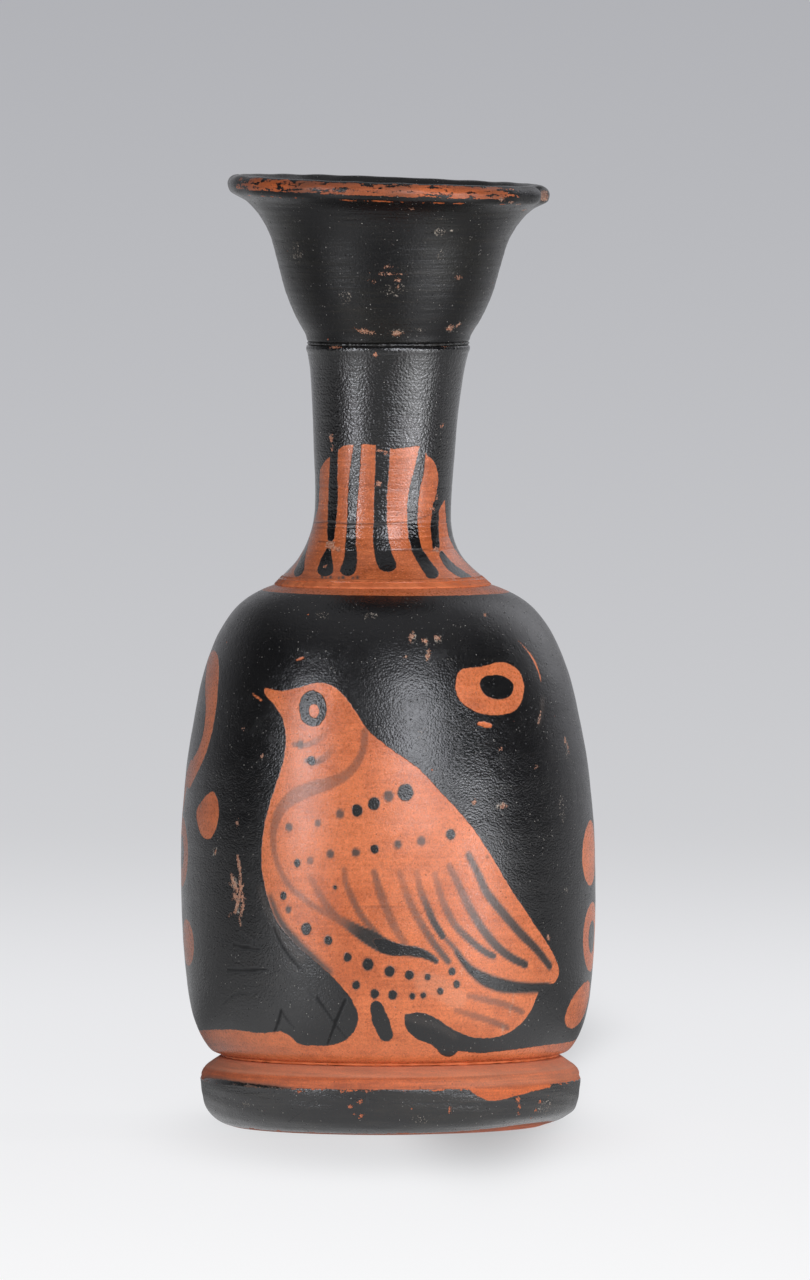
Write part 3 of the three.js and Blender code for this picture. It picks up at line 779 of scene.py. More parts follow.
# the figure in pixels; the half widths that stand in lists of their own are in mm
bird = dict(
    outline=[
        [(265, 688), (281, 691), (298, 688), (318, 683), (330, 685), (344, 696), (355, 711), (364, 725),
         (370, 733)],
        [(370, 733), (392, 750), (419, 769.5), (443, 795), (466, 820), (488, 851), (510, 888), (532, 921),
         (555, 958), (559, 972), (555, 982), (546, 985)],
        [(546, 985), (538, 993), (531, 1010), (514, 1029), (495, 1037), (473, 1037), (455, 1030), (436, 1018),
         (420, 1012), (405, 1014)],
        [(405, 1014), (380, 1004), (351, 997)],
        [(351, 997), (333, 977), (314, 960), (296, 944), (277, 921), (267, 895), (262, 870), (262, 844),
         (267, 814), (275, 788), (284, 759), (286, 738), (283, 719.5), (274, 704.5), (265.5, 695),
         (264, 690.5)],
        [(264, 690.5), (265, 688)],
    ],
    eye=dict(centre=(312.7, 708.5), radii=(15.0, 18.4), pupil=(314, 711), pupilRadii=(5.4, 6.8)),
    collar=[(365, 731), (363.5, 748), (357, 763), (346, 775), (330, 783), (308, 790), (288, 801), (277, 817),
            (273, 838), (276.5, 861), (284, 878), (294, 891), (303, 898), (312, 905)],
    collarWidths=(0.5, 0.55, 0.75, 1.05, 1.08, 0.80, 0.52, 0.45, 0.46, 0.5),
    wingEdge=[(312, 905), (324, 912), (342, 921), (358, 931), (372, 939), (387, 947), (400, 950), (410, 951),
              (421, 953), (430, 957), (436, 961)],
    wingWidths=(0.4, 0.5, 0.62, 0.75, 0.95, 1.12, 1.1, 0.8, 0.75, 0.6, 0.35),
    wingBlack=4,           # the brush was full again from this point on
    tailLine=[(456, 952), (463, 961), (471, 970), (485, 979.5), (500, 985), (518, 987.5), (548, 987.5)],
    tailWidths=(0.35, 0.6, 1.0, 1.05, 0.85, 0.75, 0.75),
    # x, y, radius and how dark: from 1 the brush was full, less is brown
    dots=[(289, 827, 4.0, 0.9), (318, 823, 3.6, 0.8), (340, 814, 4.4, 0.8), (357.3, 810.5, 5.8, 1),
          (374, 803.7, 6.2, 1), (388.5, 796, 5.2, 0.85), (405.5, 792.5, 8.2, 1), (297.3, 863, 4.1, 1),
          (310.4, 860.5, 3.6, 0.7), (330.4, 854, 4.0, 0.9), (355.8, 852.5, 4.2, 0.9), (374.6, 849, 4.5, 1),
          (397.8, 844.4, 4.1, 0.9), (421.2, 841, 4.5, 0.8), (450.5, 834.5, 5.2, 1), (283.4, 895.8, 4.0, 1),
          (288.2, 909.4, 3.4, 0.95), (306.2, 928.8, 5.9, 1), (328.2, 940.4, 4.6, 1), (347.6, 957.2, 4.5, 1),
          (367.9, 964.3, 6.0, 1), (389.6, 971.2, 5.5, 1), (409.5, 975.1, 4.8, 1), (427.6, 977, 3.4, 1),
          (451.7, 971.2, 4.1, 1), (356.4, 985, 4.4, 1), (374.7, 993.7, 4.7, 1), (392.7, 995, 5.0, 1),
          (412.3, 996, 3.5, 1), (423.2, 995.2, 3.5, 1), (439.9, 991, 3.7, 1), (456.4, 984, 4.1, 1),
          (335.2, 887.2, 2.6, 1), (300.5, 744.5, 4.2, 0.8), (311.5, 761, 4.8, 1)],
    # feather strokes: half width in pixels, then how dark the brush was at its start and its end
    feathers=[
        ([(310, 877), (320, 895), (331.5, 911), (342, 922)], 3.8, 0.42, 0.80),
        ([(344.2, 869), (345.7, 882), (352, 897.5), (359.6, 912.7), (369, 925), (378, 935)], 3.5, 0.60, 0.95),
        ([(374.2, 872), (379.9, 891), (387.6, 911.4), (395.2, 928), (404, 942)], 4.3, 0.78, 0.62),
        ([(399.7, 873), (405.4, 891), (413, 909), (424.5, 929.3), (435, 945), (448, 961.5)], 3.9, 0.45, 1.15),
        ([(416.3, 872), (420.7, 891), (427, 906.3), (433.5, 921.6), (442.4, 936)], 3.7, 0.35, 1.75),
        ([(442, 935), (450, 943.5), (459, 953)], 2.6, 0.9, 1.1),
        ([(434.5, 874), (443.5, 903), (455.2, 925.3), (471.3, 941.4), (484.5, 951.7), (493, 956)],
         3.9, 0.5, 1.4),
        ([(449.3, 866.7), (458, 884), (468.4, 906), (481.6, 928), (496.2, 945.8), (511, 957.6), (525, 964.5)],
         4.6, 0.72, 1.5),
        ([(468.4, 855), (478.7, 875.5), (486, 891.6), (502, 912), (519.7, 932.6), (535.8, 948.8),
          (549.5, 966)], 4.8, 1.1, 1.45),
        ([(468.4, 995.7), (486, 1000), (505, 1004.5), (522, 1012)], 3.6, 0.62, 0.78),
        ([(456, 1010.4), (475.7, 1016.2), (493.3, 1022), (507, 1027.5)], 3.6, 0.55, 0.80),
    ],
    # marks on the cheek: dark where the brush was set down, fading as it was drawn away
    cheek=[([(294, 744), (303, 745.5), (312, 743), (322, 737), (329.5, 729)], 3.0, 1.0, 0.12),
           ([(307, 761), (315, 762), (324, 758), (331, 750.5), (333.5, 743)], 3.6, 1.15, 0.12)],
    # where the brush dragged thin black over the edge of the clay, and a broad painted shade low on the left:
    # half width in pixels and strength
    shaded=[([(270, 897), (280, 921), (297, 943), (314, 958), (330, 972)], 4.5, 1.5),
            ([(190, 1044), (230, 1047), (275, 1052), (318, 1058)], 9.0, 0.18)],
    # where the black was laid thin, or the clay is paler: half width in pixels and strength
    faint=[([(261, 890), (267, 908), (277, 928), (289, 945), (302, 958)], 4.0, 0.5),
           ([(542.5, 700), (542, 711), (539, 722)], 3.0, 0.7),
           ([(407, 1017), (422, 1021), (438, 1026), (455, 1036)], 3.5, 0.5),
           ([(425, 982), (440, 988), (456, 998)], 11.0, 0.45)],
)
ground = dict(
    # lower edge of the black: field on the left, the leg, the strip under the tail
    left=[(192, 1031), (230, 1030), (262, 1033), (281, 1031.5)],
    leftFoot=[(281, 1031.5), (291, 1037), (298, 1043.5), (318, 1046), (340, 1043), (352, 1034), (358.5, 1020),
              (355, 1005), (347, 993)],
    inBird=[(347, 993), (365, 980), (420, 1000), (404, 1014)],
    rightFoot=[(404, 1014), (406, 1028), (417, 1039), (432, 1045), (441, 1054), (448, 1057), (454, 1055),
               (458, 1051)],
    right=[(458, 1051), (480, 1053), (503, 1051), (540, 1046), (573, 1041)],
    leg=[(376.5, 1007), (381, 1022), (386, 1035)],
    legWidths=(6.5, 8.6, 7.2),     # half widths in pixels
)
fillers = dict(
    ring=[(455.5, 685), (460, 671), (481, 667), (503, 662.5), (519, 671.5), (524, 688), (517.5, 708),
          (499, 715), (477, 712), (460, 700)],
    ringHole=[(480, 681), (488, 675.5), (505, 677), (513.5, 685), (511, 695), (499, 699.5), (484, 694)],
    ringShade=0.08,         # painted shade: how much darker and browner its clay is painted
    # thin bare lines, with their half widths in mm
    lines=[([(517.5, 640), (530.5, 655), (538, 670), (541, 682)], (0.02, 0.13, 0.20, 0.08)),
           ([(479, 723.5), (490, 725.5)], (0.25, 0.4, 0.3)), ([(253, 694), (261, 700)], (0.16, 0.18)),
           ([(297, 660), (303, 658)], (0.16, 0.2))],
    leftDrop=[(213, 792), (218, 804), (217, 823), (212, 836), (206, 839), (199, 831), (196, 812), (203, 799)],
    leftBand=[(213, 650), (218, 659), (217.5, 688), (212, 730), (203, 759), (193, 780), (188, 789),
              (187.5, 779), (190, 766), (200, 743), (205, 715), (205, 679), (208, 656)],
    # ornaments that turn out of sight, by angle and height: tendrils, and rings and drops at both sides
    leftTendril=[(-175.5, 24.6), (-168, 20.5), (-156, 18.5), (-138, 20), (-118, 27), (-103, 36), (-92, 44.5),
                 (-84, 50.5), (-78, 53.5)],
    rightTendril=[(175.5, 24.6), (168, 20.5), (156, 18.5), (138, 20), (122, 28), (111, 39), (103, 50),
                  (98, 60), (104, 68), (114, 69)],
    tendrilWidths=(0.8, 1.1, 1.3, 1.5, 1.7, 1.8, 1.7, 0.9),
    sideRings=[dict(angle=-84.5, height=40.6, radii=(5.2, 5.2), hole=(2.3, 2.6)),
               dict(angle=80.0, height=28.1, radii=(5.3, 5.2), hole=(2.5, 2.5))],
    sideDrops=[dict(angle=-78.5, height=27.3, radii=(3.9, 3.5), turn=0.2),
               dict(angle=78.0, height=40.6, radii=(5.0, 4.4), turn=0.9),
               dict(angle=73.0, height=18.2, radii=(6.2, 2.9), turn=0.35),
               dict(angle=-112, height=60, radii=(2.6, 4.0), turn=-0.3),
               dict(angle=126, height=57, radii=(2.6, 4.0), turn=0.3)],
)
# the side away from the viewer: a plain fan palmette under the handle, in mm and degrees
palmette = dict(
    heartHeight=27.0,
    heartRadii=(3.2, 3.6),
    heartHole=(1.5, 1.8),
    leaves=9,
    leafWidths=(0.5, 0.75, 1.1, 1.6, 2.0, 1.7),
    spread=84,
    bend=0.30,             # radians that the outermost tips bend down
    reach=28.0,
    shorter=9.0,           # how much shorter the outermost leaves are
    start=6.5,
)
damage = dict(
    scrapes=[([(237, 856), (239, 865), (240, 875)], 2.4), ([(231, 875), (234, 884), (237, 892)], 2.9),
             ([(240, 876), (240, 890), (238, 903)], 2.6), ([(233, 893), (237, 903), (235, 913)], 1.9),
             ([(242, 894), (243, 905), (239, 918)], 1.9), ([(229, 915), (236, 910)], 1.0),
             ([(238, 918), (241, 926)], 0.9), ([(541, 712), (538, 724)], 0.8),
             ([(229, 884), (236, 888), (244, 885)], 1.2), ([(232, 899), (240, 896), (246, 899)], 1.1)],
    flakes=[(485.5, 615, 2.4, 1.8, 20), (411.5, 637, 2.2, 5, 10), (425, 641.5, 2.4, 3.0, -20),
            (437.5, 638, 3.4, 2.8, 30), (428, 655.5, 2.2, 4.4, 10), (503, 806, 4.2, 2.2, 0),
            (405, 657, 1.4, 1.4, 0), (568, 748, 1.6, 5, 0), (243, 729, 1.5, 1.5, 0),
            (474, 802, 1.8, 2.2, 0), (500, 749, 2.0, 2.0, 0), (536, 767, 1.8, 1.8, 0),
            (548, 938, 2.4, 2.4, 0), (565, 740, 2.6, 3.4, 0), (237, 823, 1.6, 2.6, 0),
            (262, 756, 1.3, 1.6, 0), (215, 852, 1.6, 2.4, 30), (200, 806, 1.6, 2.4, 0),
            (487, 857, 1.8, 1.6, 0)],
    scuffs=[(413, 638, 4, 8, 0.62), (426, 642, 3.6, 6, 0.65), (438, 639, 5.5, 6, 0.62),
            (428, 656, 3.6, 7, 0.6), (405, 657, 2.2, 2.4, 0.8), (501, 806, 6.5, 4.5, 0.62),
            (323, 615, 9, 6, 0.45), (370, 615.5, 10, 5, 0.45), (215, 852, 7, 6, 0.5),
            (239, 864, 2, 8, 0.62), (234, 883, 5, 8, 0.74), (238, 905, 5, 12, 0.58), (241, 922, 2, 6, 0.55),
            (566, 890, 5, 5, 0.5), (567, 750, 4, 14, 0.56), (562, 808, 6, 20, 0.42), (421, 735, 5, 5, 0.45),
            (513, 998, 2.2, 9, 0.75), (510, 1010, 2.4, 8, 0.75), (503, 1028, 2.4, 9, 0.8),
            (462, 972, 2.4, 6, 0.7)],
    cuts=[([(273.8, 927.5), (278.8, 940), (290, 957.5), (300.5, 969)], 0.20, 1.0),
          ([(233, 945), (246, 947.5), (260, 950)], 0.30, 1.0),
          ([(240, 932), (250, 940), (261, 945.5)], 0.18, 0.9), ([(222, 944), (231, 947)], 0.2, 0.8),
          ([(227.5, 970), (246, 970.5), (266, 969.5)], 0.30, 1.0),
          ([(317, 997), (331, 1018), (346, 1038)], 0.24, 0.9),
          ([(345, 1000), (336, 1021), (327.5, 1044)], 0.30, 1.0),
          ([(281, 1011), (278, 1022), (273.8, 1032.5)], 0.28, 0.9),
          ([(281, 1011), (287, 1020), (294, 1028)], 0.22, 0.7),
          ([(222, 1005), (236, 994), (258, 992)], 0.2, 0.5),
          ([(309, 992), (316, 1000), (323, 1009)], 0.16, 0.6),
          ([(342, 905), (372, 907), (405, 906.5), (422, 906), (440, 905.5)], 0.03, 0.7)],
)


# leaf k of the fan: a stroke from near the heart outward, bent down towards its tip, widest near the end
def palmetteLeaves():
    half = (palmette["leaves"] - 1) / 2
    lines = []
    for k in range(palmette["leaves"]):
        share = (k - half) / half
        turn = math.radians(palmette["spread"] * share)
        reach = palmette["reach"] - palmette["shorter"] * abs(share) ** 1.5
        t = np.linspace(palmette["start"] / reach, 1, 12)
        bend = turn + palmette["bend"] * share * t**2
        lines.append(np.column_stack([reach * t * np.sin(bend), reach * t * np.cos(bend)]))
    return lines


def paintBack(wall):
    back = Paint(wall, math.pi)
    heart = np.array([0.0, wall.lengthAt(palmette["heartHeight"])])
    for line in palmetteLeaves():
        back.leaveBare(back.stroke(heart + line, palmette["leafWidths"]))
    back.leaveBare(back.spot(heart, palmette["heartRadii"]))
    back.paintBlack(back.spot(heart, palmette["heartHole"]))
    return back


# the bird: left bare, then marked with brush lines, some dark and some thinned to brown
def paintBird(paint, onWall):
    pixel = 1 / pixelsPerMm
    outline = [smoothLine(onWall(run), 0.4)[:-1] for run in bird["outline"]]
    paint.leaveBare(paint.area(np.vstack(outline)))
    eye = bird["eye"]
    centre, pupil = onWall([eye["centre"], eye["pupil"]])
    paint.paintBlack(paint.spot(centre, np.array(eye["radii"]) * pixel))
    paint.leaveBare(paint.spot(pupil, np.array(eye["pupilRadii"]) * pixel))
    paint.paintWashAndShade(paint.stroke(smoothLine(onWall(bird["collar"]), 0.4), bird["collarWidths"]), 0.62)

    wing = smoothLine(onWall(bird["wingEdge"]), 0.3)
    wingShape = paint.stroke(wing, bird["wingWidths"])
    paint.paintWashAndShade(wingShape, 0.6 + 1.3 * smoothStep(paint.share(wing), 0.15, 0.6))
    full = smoothLine(onWall(bird["wingEdge"][bird["wingBlack"]:]), 0.3)
    paint.paintBlack(paint.stroke(full, (0.1,) + bird["wingWidths"][bird["wingBlack"] + 1:]) - 0.05)
    tail = paint.stroke(smoothLine(onWall(bird["tailLine"]), 0.3), bird["tailWidths"])
    paint.paintWashAndShade(tail, 1.5, 0.3)
    paint.paintBlack(tail - 0.18)

    for x, y, radius, dark in bird["dots"]:
        dot = paint.spot(onWall([(x, y)])[0], (radius * pixel, radius * 1.12 * pixel))
        if dark >= 1:
            paint.paintBlack(dot - 0.06)
        paint.paintWashAndShade(dot, 0.75 if dark >= 1 else 1.3 * dark)
    for points, width, start, end in bird["feathers"] + bird["cheek"]:
        line = smoothLine(onWall(points), 0.3)
        shape = paint.stroke(line, np.array((0.75, 1.0, 1.0, 0.85)) * width * pixel)
        paint.paintWashAndShade(shape, start + (end - start) * paint.share(line))
    # brown over the clay: dragged black at the breast, and painted shade low on the left
    for points, width, strength in bird["shaded"]:
        shape = paint.stroke(smoothLine(onWall(points), 0.4), np.array((0.4, 1.0, 0.4)) * width * pixel)
        paint.paintWashAndShade(shape, strength, 0.8)
    for points, width, strength in bird["faint"]:
        paint.layFaint(paint.stroke(smoothLine(onWall(points), 0.4), (width * pixel,)), strength)


def paintFillers(paint, onWall):
    def outlined(name):
        return paint.area(smoothRing(onWall(fillers[name]), 0.3))

    ring = outlined("ring")
    for shape in (ring, outlined("leftDrop"), outlined("leftBand")):
        paint.leaveBare(shape)
    # the ring's clay painted darker as painted shade
    paint.paintWashAndShade(ring, fillers["ringShade"])
    paint.paintBlack(outlined("ringHole"))
    for points, widths in fillers["lines"]:
        paint.leaveBare(paint.stroke(smoothLine(onWall(points), 0.3), widths))
    for name in ("leftTendril", "rightTendril"):
        line = smoothLine(paint.wall.fromAngles(fillers[name]), 0.5)
        paint.leaveBare(paint.stroke(line, fillers["tendrilWidths"]))
    for ring in fillers["sideRings"]:
        centre = paint.wall.fromAngles([(ring["angle"], ring["height"])])[0]
        paint.leaveBare(paint.spot(centre, ring["radii"]))
        paint.paintBlack(paint.spot(centre, ring["hole"]))
    for drop in fillers["sideDrops"]:
        centre = paint.wall.fromAngles([(drop["angle"], drop["height"])])[0]
        paint.leaveBare(paint.spot(centre, drop["radii"], drop["turn"]))


def paintBody(wall):
    paint = Paint(wall)
    onWall = wall.fromPixels

    # bare bands at the shoulder and over the foot
    angles = np.tile(wall.angles, len(wall.radii))
    edge = wall.lengthAt(body["shoulderEdge"]) - body["shoulderTilt"] * np.sin(angles)
    paint.glaze = np.clip(edge - paint.points[:, 1], -paintReach, paintReach)
    # the bare shoulder band painted darker as painted shade
    paint.paintWashAndShade(paint.points[:, 1] - edge, body["shoulderShade"])
    names = ("left", "leftFoot", "inBird", "rightFoot", "right")
    runs = [smoothLine(onWall(ground[name]), 0.4) for name in names]
    behind = body["groundBack"]
    back = wall.fromAngles([(180, behind), (180, bodyBase), (-180, bodyBase), (-180, behind)])
    under = back + np.array([[9, 0], [9, -9], [-9, -9], [-9, 0]])
    paint.leaveBare(paint.area(np.vstack(runs + [under])))

    paintBird(paint, onWall)
    leg = paint.stroke(onWall(ground["leg"]), np.array(ground["legWidths"]) / pixelsPerMm)
    paint.paintBlack(leg)
    paintFillers(paint, onWall)
    paint.takeBare(paintBack(wall))
    paint.damage(damage)
    return paint


def makeBody():
    outer = smoothLine(raised(body["outer"], bodyBase), 0.33)
    under = evenly(np.array([(body["middle"], bodyBase), outer[0]]), 2.6)[:-1]
    floorTop = bodyBase + body["floor"]
    opening = (body["opening"], bodyTop)
    belly = outer[(outer[:, 1] < bodyTop - 16) & (outer[:, 1] > floorTop + 6)][::-12]
    inside = [opening] + raised(body["underShoulder"], bodyTop) + [(r - body["wall"], z) for r, z in belly]
    inside += raised(body["overFloor"], floorTop) + [(body["middle"], floorTop)]
    rim = evenly(np.array([outer[-1], opening]), 1.2)[1:-1]
    inner = np.vstack([rim, smoothLine(inside, 3.0)])
    angles = columnAngles(*body["columns"])
    wall = Wall(outer, angles)

    def relief(a, r, z):
        share = smoothStep(z, bodyBase + 1, bodyBase + 6) * smoothStep(bodyTop - 1 - z, 0, 6)
        outside = smoothStep(r - wall.radiusAt(z), -1.6, -0.4) * share
        throwing = 0.006 * np.sin(2 * math.pi * z / 3.7 + a)
        return outside * (0.06 * np.sin(2 * a + 0.9) + 0.04 * np.sin(3 * a - 0.4 + 0.05 * z) + throwing)

    paint = paintBody(wall)
    ends = np.array([(lean(bodyBase), 0, bodyBase), (lean(floorTop), 0, floorTop)])
    rows = (under, outer, inner)
    addThrown("body_thrown", "body", rows, angles, relief, paint, -paintReach, bodyLook, ends)


# the neck: flaring out to the shoulder, waisted low down, with tongues left bare in front
neck = dict(
    outer=[(15.3, 0.0), (14.9, 0.3), (13.9, 1.2), (12.5, 2.65), (11.5, 4.2), (10.8, 5.8), (10.37, 7.4),
           (10.13, 9.2), (10.08, 11.6), (10.2, 15.0), (10.43, 18.6), (10.68, 23.2), (11.03, 27.4),
           (11.48, 31.3), (11.9, 33.4)],
    ledge=[(11.9, 33.4), (12.07, 33.8), (12.12, 34.2), (12.03, 34.5), (11.85, 34.6)],
    bore=[(8.1, 34.6), (7.3, 31.0), (7.05, 24.0), (7.05, 11.0), (7.8, 4.0), (9.0, 0.0)],
    columns=(80, 200, 90),
    # height, depth, half width
    grooves=[(89.4, 0.10, 0.13), (88.8, 0.06, 0.10), (87.3, 0.06, 0.13), (85.4, 0.08, 0.12),
             (94.6, 0.04, 0.16), (91.3, 0.05, 0.14)],
    panel=[
        [(319.5, 482), (320, 472), (323, 464), (331, 456), (337, 451), (344, 446), (356, 445), (377, 445),
         (392, 449), (421, 447), (427, 455), (433, 461), (437, 470), (438, 481), (434.5, 500), (433.5, 508)],
        [(433.5, 508), (439, 510), (441, 506), (444.5, 500)],
        [(444.5, 500), (446, 519), (450, 540), (457, 552), (468, 564), (478, 572)],
        [(287, 574), (295, 563), (303, 549), (309, 536), (314, 521), (318, 508), (319.5, 482)],
    ],
    # brush strokes between the tongues: middle line and half widths in pixels
    strokes=[
        ([(308, 541), (303, 556), (299, 569)], (3.5, 7.5, 10.5)),
        ([(334, 450), (333, 475), (332.5, 500), (331.5, 520), (330.5, 537)], (5.5, 6.0, 7.2, 7.0, 5.0)),
        ([(328, 551), (326.5, 560), (325, 569)], (4.0, 8.4, 10.4)),
        ([(357.5, 445), (355, 468), (352.5, 500), (351, 530), (350.5, 552), (350, 562), (347.5, 570)],
         (4.2, 5.6, 6.0, 5.5, 5.2, 6.8, 8.2)),
        ([(383, 447), (382, 470), (380.5, 500), (380.5, 535), (383, 553), (387, 565)],
         (7.2, 7.0, 6.6, 6.8, 8.2, 9.4)),
        ([(422.5, 446), (419.5, 468), (414.5, 490), (412.5, 508), (413, 530), (417, 549), (424, 562),
          (432, 573)], (3.6, 5.6, 6.2, 6.2, 5.8, 5.8, 6.6, 8.2)),
        ([(436, 505), (434.8, 525), (436, 545)], (5.0, 6.2, 5.8)),
        ([(442, 555), (449, 565), (459, 572.5), (470, 577)], (4.4, 6.8, 6.6, 3.6)),
    ],
    # crumbs of black along the base: x, y and radius
    crumbs=[(322, 577, 1.7), (326, 578.4, 1.2), (330.5, 577.4, 1.5), (339, 578.2, 1.1), (343, 577.6, 1.6),
            (353, 578.3, 1.2), (357.5, 577.6, 1.5)],
    marks=dict(
        flakes=[(330, 545, 6, 4, 20), (338, 549, 3, 2.4, 0), (378, 484, 2.6, 2.6, 0), (432, 509, 3, 1.8, 0),
                (437, 550, 4, 2.4, 0), (375, 354, 1.8, 2.6, 0), (442, 426, 2.2, 1.8, 0),
                (331, 438, 3.0, 3.4, 0), (332, 449, 1.5, 2.6, 0), (335, 347, 6, 1.8, 0),
                (445, 346, 4, 1.8, 0), (384, 452, 6, 0.9, 15), (437, 497, 1.4, 1.8, 0), (325, 566, 2, 2, 0)],
        scuffs=[(330, 546, 9, 6, 0.5), (330, 440, 6, 8, 0.4)],
        cuts=[([(314, 522.5), (332, 522), (352, 524), (380, 523.7), (396, 523), (410, 521), (430, 514.5),
                (437, 512)], 0.11, 1.0),
              ([(314, 527.5), (345, 528), (380, 526.5)], 0.06, 0.7),
              ([(318, 541), (330, 542), (342, 542.5)], 0.09, 0.9),
              ([(387, 550), (410, 549.5), (441, 550.5)], 0.10, 1.0),
              ([(390, 514), (405, 512), (420, 510)], 0.05, 0.6)],
    ),
)


def makeNeck():
    lower = smoothLine(raised(neck["outer"], neckBase), 0.2)
    ledge = smoothLine(raised(neck["ledge"], neckBase), 0.12)
    outer = np.vstack([lower, ledge[1:]])
    bore = smoothLine(raised(neck["bore"], neckBase), 1.0)
    seat = evenly(np.array([outer[-1], bore[0]]), 1.0)[1:-1]
    under = evenly(np.array([bore[-1], outer[0]]), 1.2)[1:-1]
    angles = columnAngles(*neck["columns"])
    wall = Wall(outer, angles)

    def relief(a, r, z):
        dip = sum(-depth * hump(z - at, width) for at, depth, width in neck["grooves"])
        outside = smoothStep(r, 9.4, 9.8) * smoothStep(z, neckBase, neckBase + 2)
        outside = outside * smoothStep(neckTop - z, 0, 2)
        front = smoothStep(np.cos(a), -0.2, 0.4)
        return outside * (dip * front + 0.03 * np.sin(2 * a) + 0.004 * np.sin(2 * math.pi * z / 2.6 + a))

    paint = Paint(wall)
    onWall = wall.fromPixels
    bandTop = wall.lengthAt(neckBase + 0.9)
    paint.glaze = np.clip(paint.points[:, 1] - bandTop, -paintReach, paintReach)
    runs = [smoothLine(onWall(run), 0.25) for run in neck["panel"]]
    below = np.array([(runs[2][-1][0] + 3, -paintReach), (runs[3][0][0] - 3, -paintReach)])
    paint.leaveBare(paint.area(np.vstack(runs[:3] + [below] + runs[3:])))
    for points, widths in neck["strokes"]:
        paint.paintBlack(paint.stroke(smoothLine(onWall(points), 0.25), np.array(widths) / pixelsPerMm))
    for x, y, radius in neck["crumbs"]:
        size = radius / pixelsPerMm
        paint.paintWashAndShade(paint.spot(onWall([(x, y)])[0], (size, 2.0 * size)), 1.3)
    paint.damage(neck["marks"])
    rows = (under, outer, np.vstack([seat, bore]))
    addThrown("neck_thrown", "neck", rows, angles, relief, paint, paintReach, neckLook)


# the mouth: a calyx that swells, then flares under a thick rolled lip, worn to the clay in front
mouth = dict(
    outer=[(11.85, 0.0), (12.02, 0.25), (12.2, 0.9), (12.75, 1.9), (13.42, 3.0), (14.18, 4.5), (14.87, 6.1),
           (15.43, 7.6), (15.88, 9.2), (16.33, 10.9), (16.77, 12.5), (17.16, 13.9), (17.59, 15.2),
           (18.17, 16.4), (18.95, 17.7), (19.93, 18.95), (21.28, 20.2), (23.0, 21.1)],
    lip=[(23.0, 21.1), (23.45, 21.45), (23.72, 22.05), (23.78, 22.65), (23.55, 23.25), (23.0, 23.7),
         (22.3, 23.87)],
    inside=[(22.3, 23.87), (21.5, 23.6), (20.2, 22.6), (18.4, 20.9), (16.8, 18.7), (15.6, 16.3), (14.7, 13.6),
            (13.9, 10.8), (13.0, 7.9), (11.9, 5.2), (10.4, 2.6), (8.9, 0.8), (8.1, 0.0)],
    columns=(85, 220, 110),
    worn=(-76, -60, 38, 58),    # degrees: the front of the lip has lost its black between these
    wornFace=(21.75, 22.0, 23.6, 23.9),
    wornMost=(-25, 8),     # degrees over which the wear grows towards the right
    arris=21.12,
    chip=dict(angle=77.0, height=22.3, radii=(2.4, 1.2), depth=0.55, width=0.07),
    marks=dict(
        flakes=[(364, 331, 6, 2.0, 12), (370, 333, 4, 1.4, 10), (397, 333, 5, 2.6, 0),
                (450, 328, 5, 3.0, -20), (458, 325, 3.6, 1.6, -30), (398, 280, 2.0, 1.5, 0),
                (398, 287, 1.8, 1.5, 0), (391, 274, 7, 0.9, 0), (388, 267, 2.4, 0.8, 0),
                (459, 276, 3, 1.1, 0), (412, 208, 1.8, 1.2, 0), (371, 281, 2.6, 0.8, 0),
                (502, 196, 4, 1.6, 10), (511, 198.5, 3, 1.4, 0), (519, 200.5, 3, 1.2, 0),
                (524, 206, 4.4, 1.2, 0)],
        scuffs=[(440, 231, 8, 5, 0.58), (440, 254, 5, 6, 0.45), (345, 298, 8, 8, 0.42),
                (297, 253, 9, 12, 0.42), (395, 290, 12, 9, 0.40), (397, 332, 8, 5, 0.55),
                (443, 218, 10, 1.6, 0.62), (452, 229, 3, 1.8, 0.8), (450, 328, 8, 6, 0.45),
                (343, 227, 4, 1.4, 0.5), (420, 330, 10, 4, 0.42)],
    ),
)


def makeMouth():
    lower = smoothLine(raised(mouth["outer"], mouthBase), 0.26)
    lip = smoothLine(raised(mouth["lip"], mouthBase), 0.2)
    outer = np.vstack([lower, lip[1:]])
    inner = smoothLine(raised(mouth["inside"], mouthBase), 0.5)[1:]
    under = evenly(np.array([inner[-1], outer[0]]), 1.0)[1:-1]
    angles = columnAngles(*mouth["columns"])
    wall = Wall(outer, angles)
    chip = mouth["chip"]

    def relief(a, r, z):
        height = z - mouthBase
        lipShare = smoothStep(height, 20.5, 21.5)
        ripple = 0.010 * np.sin(2 * math.pi * z / 1.7 + a) + 0.008 * np.sin(2 * math.pi * z / 0.9 - 2 * a)
        dents = 0.05 * np.sin(7 * a + 1.2) * np.sin(11 * a) + 0.03 * np.sin(23 * a)
        hollow = -chip["depth"] * hump(a - math.radians(chip["angle"]), chip["width"])
        return smoothStep(height, 0.6, 3) * ripple * (1 - lipShare) + lipShare * (dents + hollow)

    paint = Paint(wall)
    angle = np.tile(angles, len(outer))
    degrees = np.degrees((angle + math.pi) % (2 * math.pi) - math.pi)
    height = np.repeat(outer[:, 1], len(angles)) - mouthBase
    front = between(degrees, mouth["worn"])
    band = between(height, mouth["wornFace"])
    arris = hump(height - mouth["arris"], 0.13)
    most = smoothStep(degrees, *mouth["wornMost"])
    paint.wear = band * (0.14 + (0.43 + 0.17 * most) * front) + arris * (0.12 + 0.30 * front)
    patches = 0.30 * np.sin(3.1 * angle + 0.6) * np.sin(7.7 * angle + 2)
    paint.washAndShade = band * (0.42 + patches + 0.12 * np.sin(19 * angle))
    chipMiddle = wall.fromAngles([(chip["angle"], mouthBase + chip["height"])])[0]
    paint.flakeOff(paint.spot(chipMiddle, chip["radii"]))
    paint.damage(mouth["marks"])
    addThrown("mouth_thrown", "mouth", (under, outer, inner), angles, relief, paint, paintReach, mouthLook)


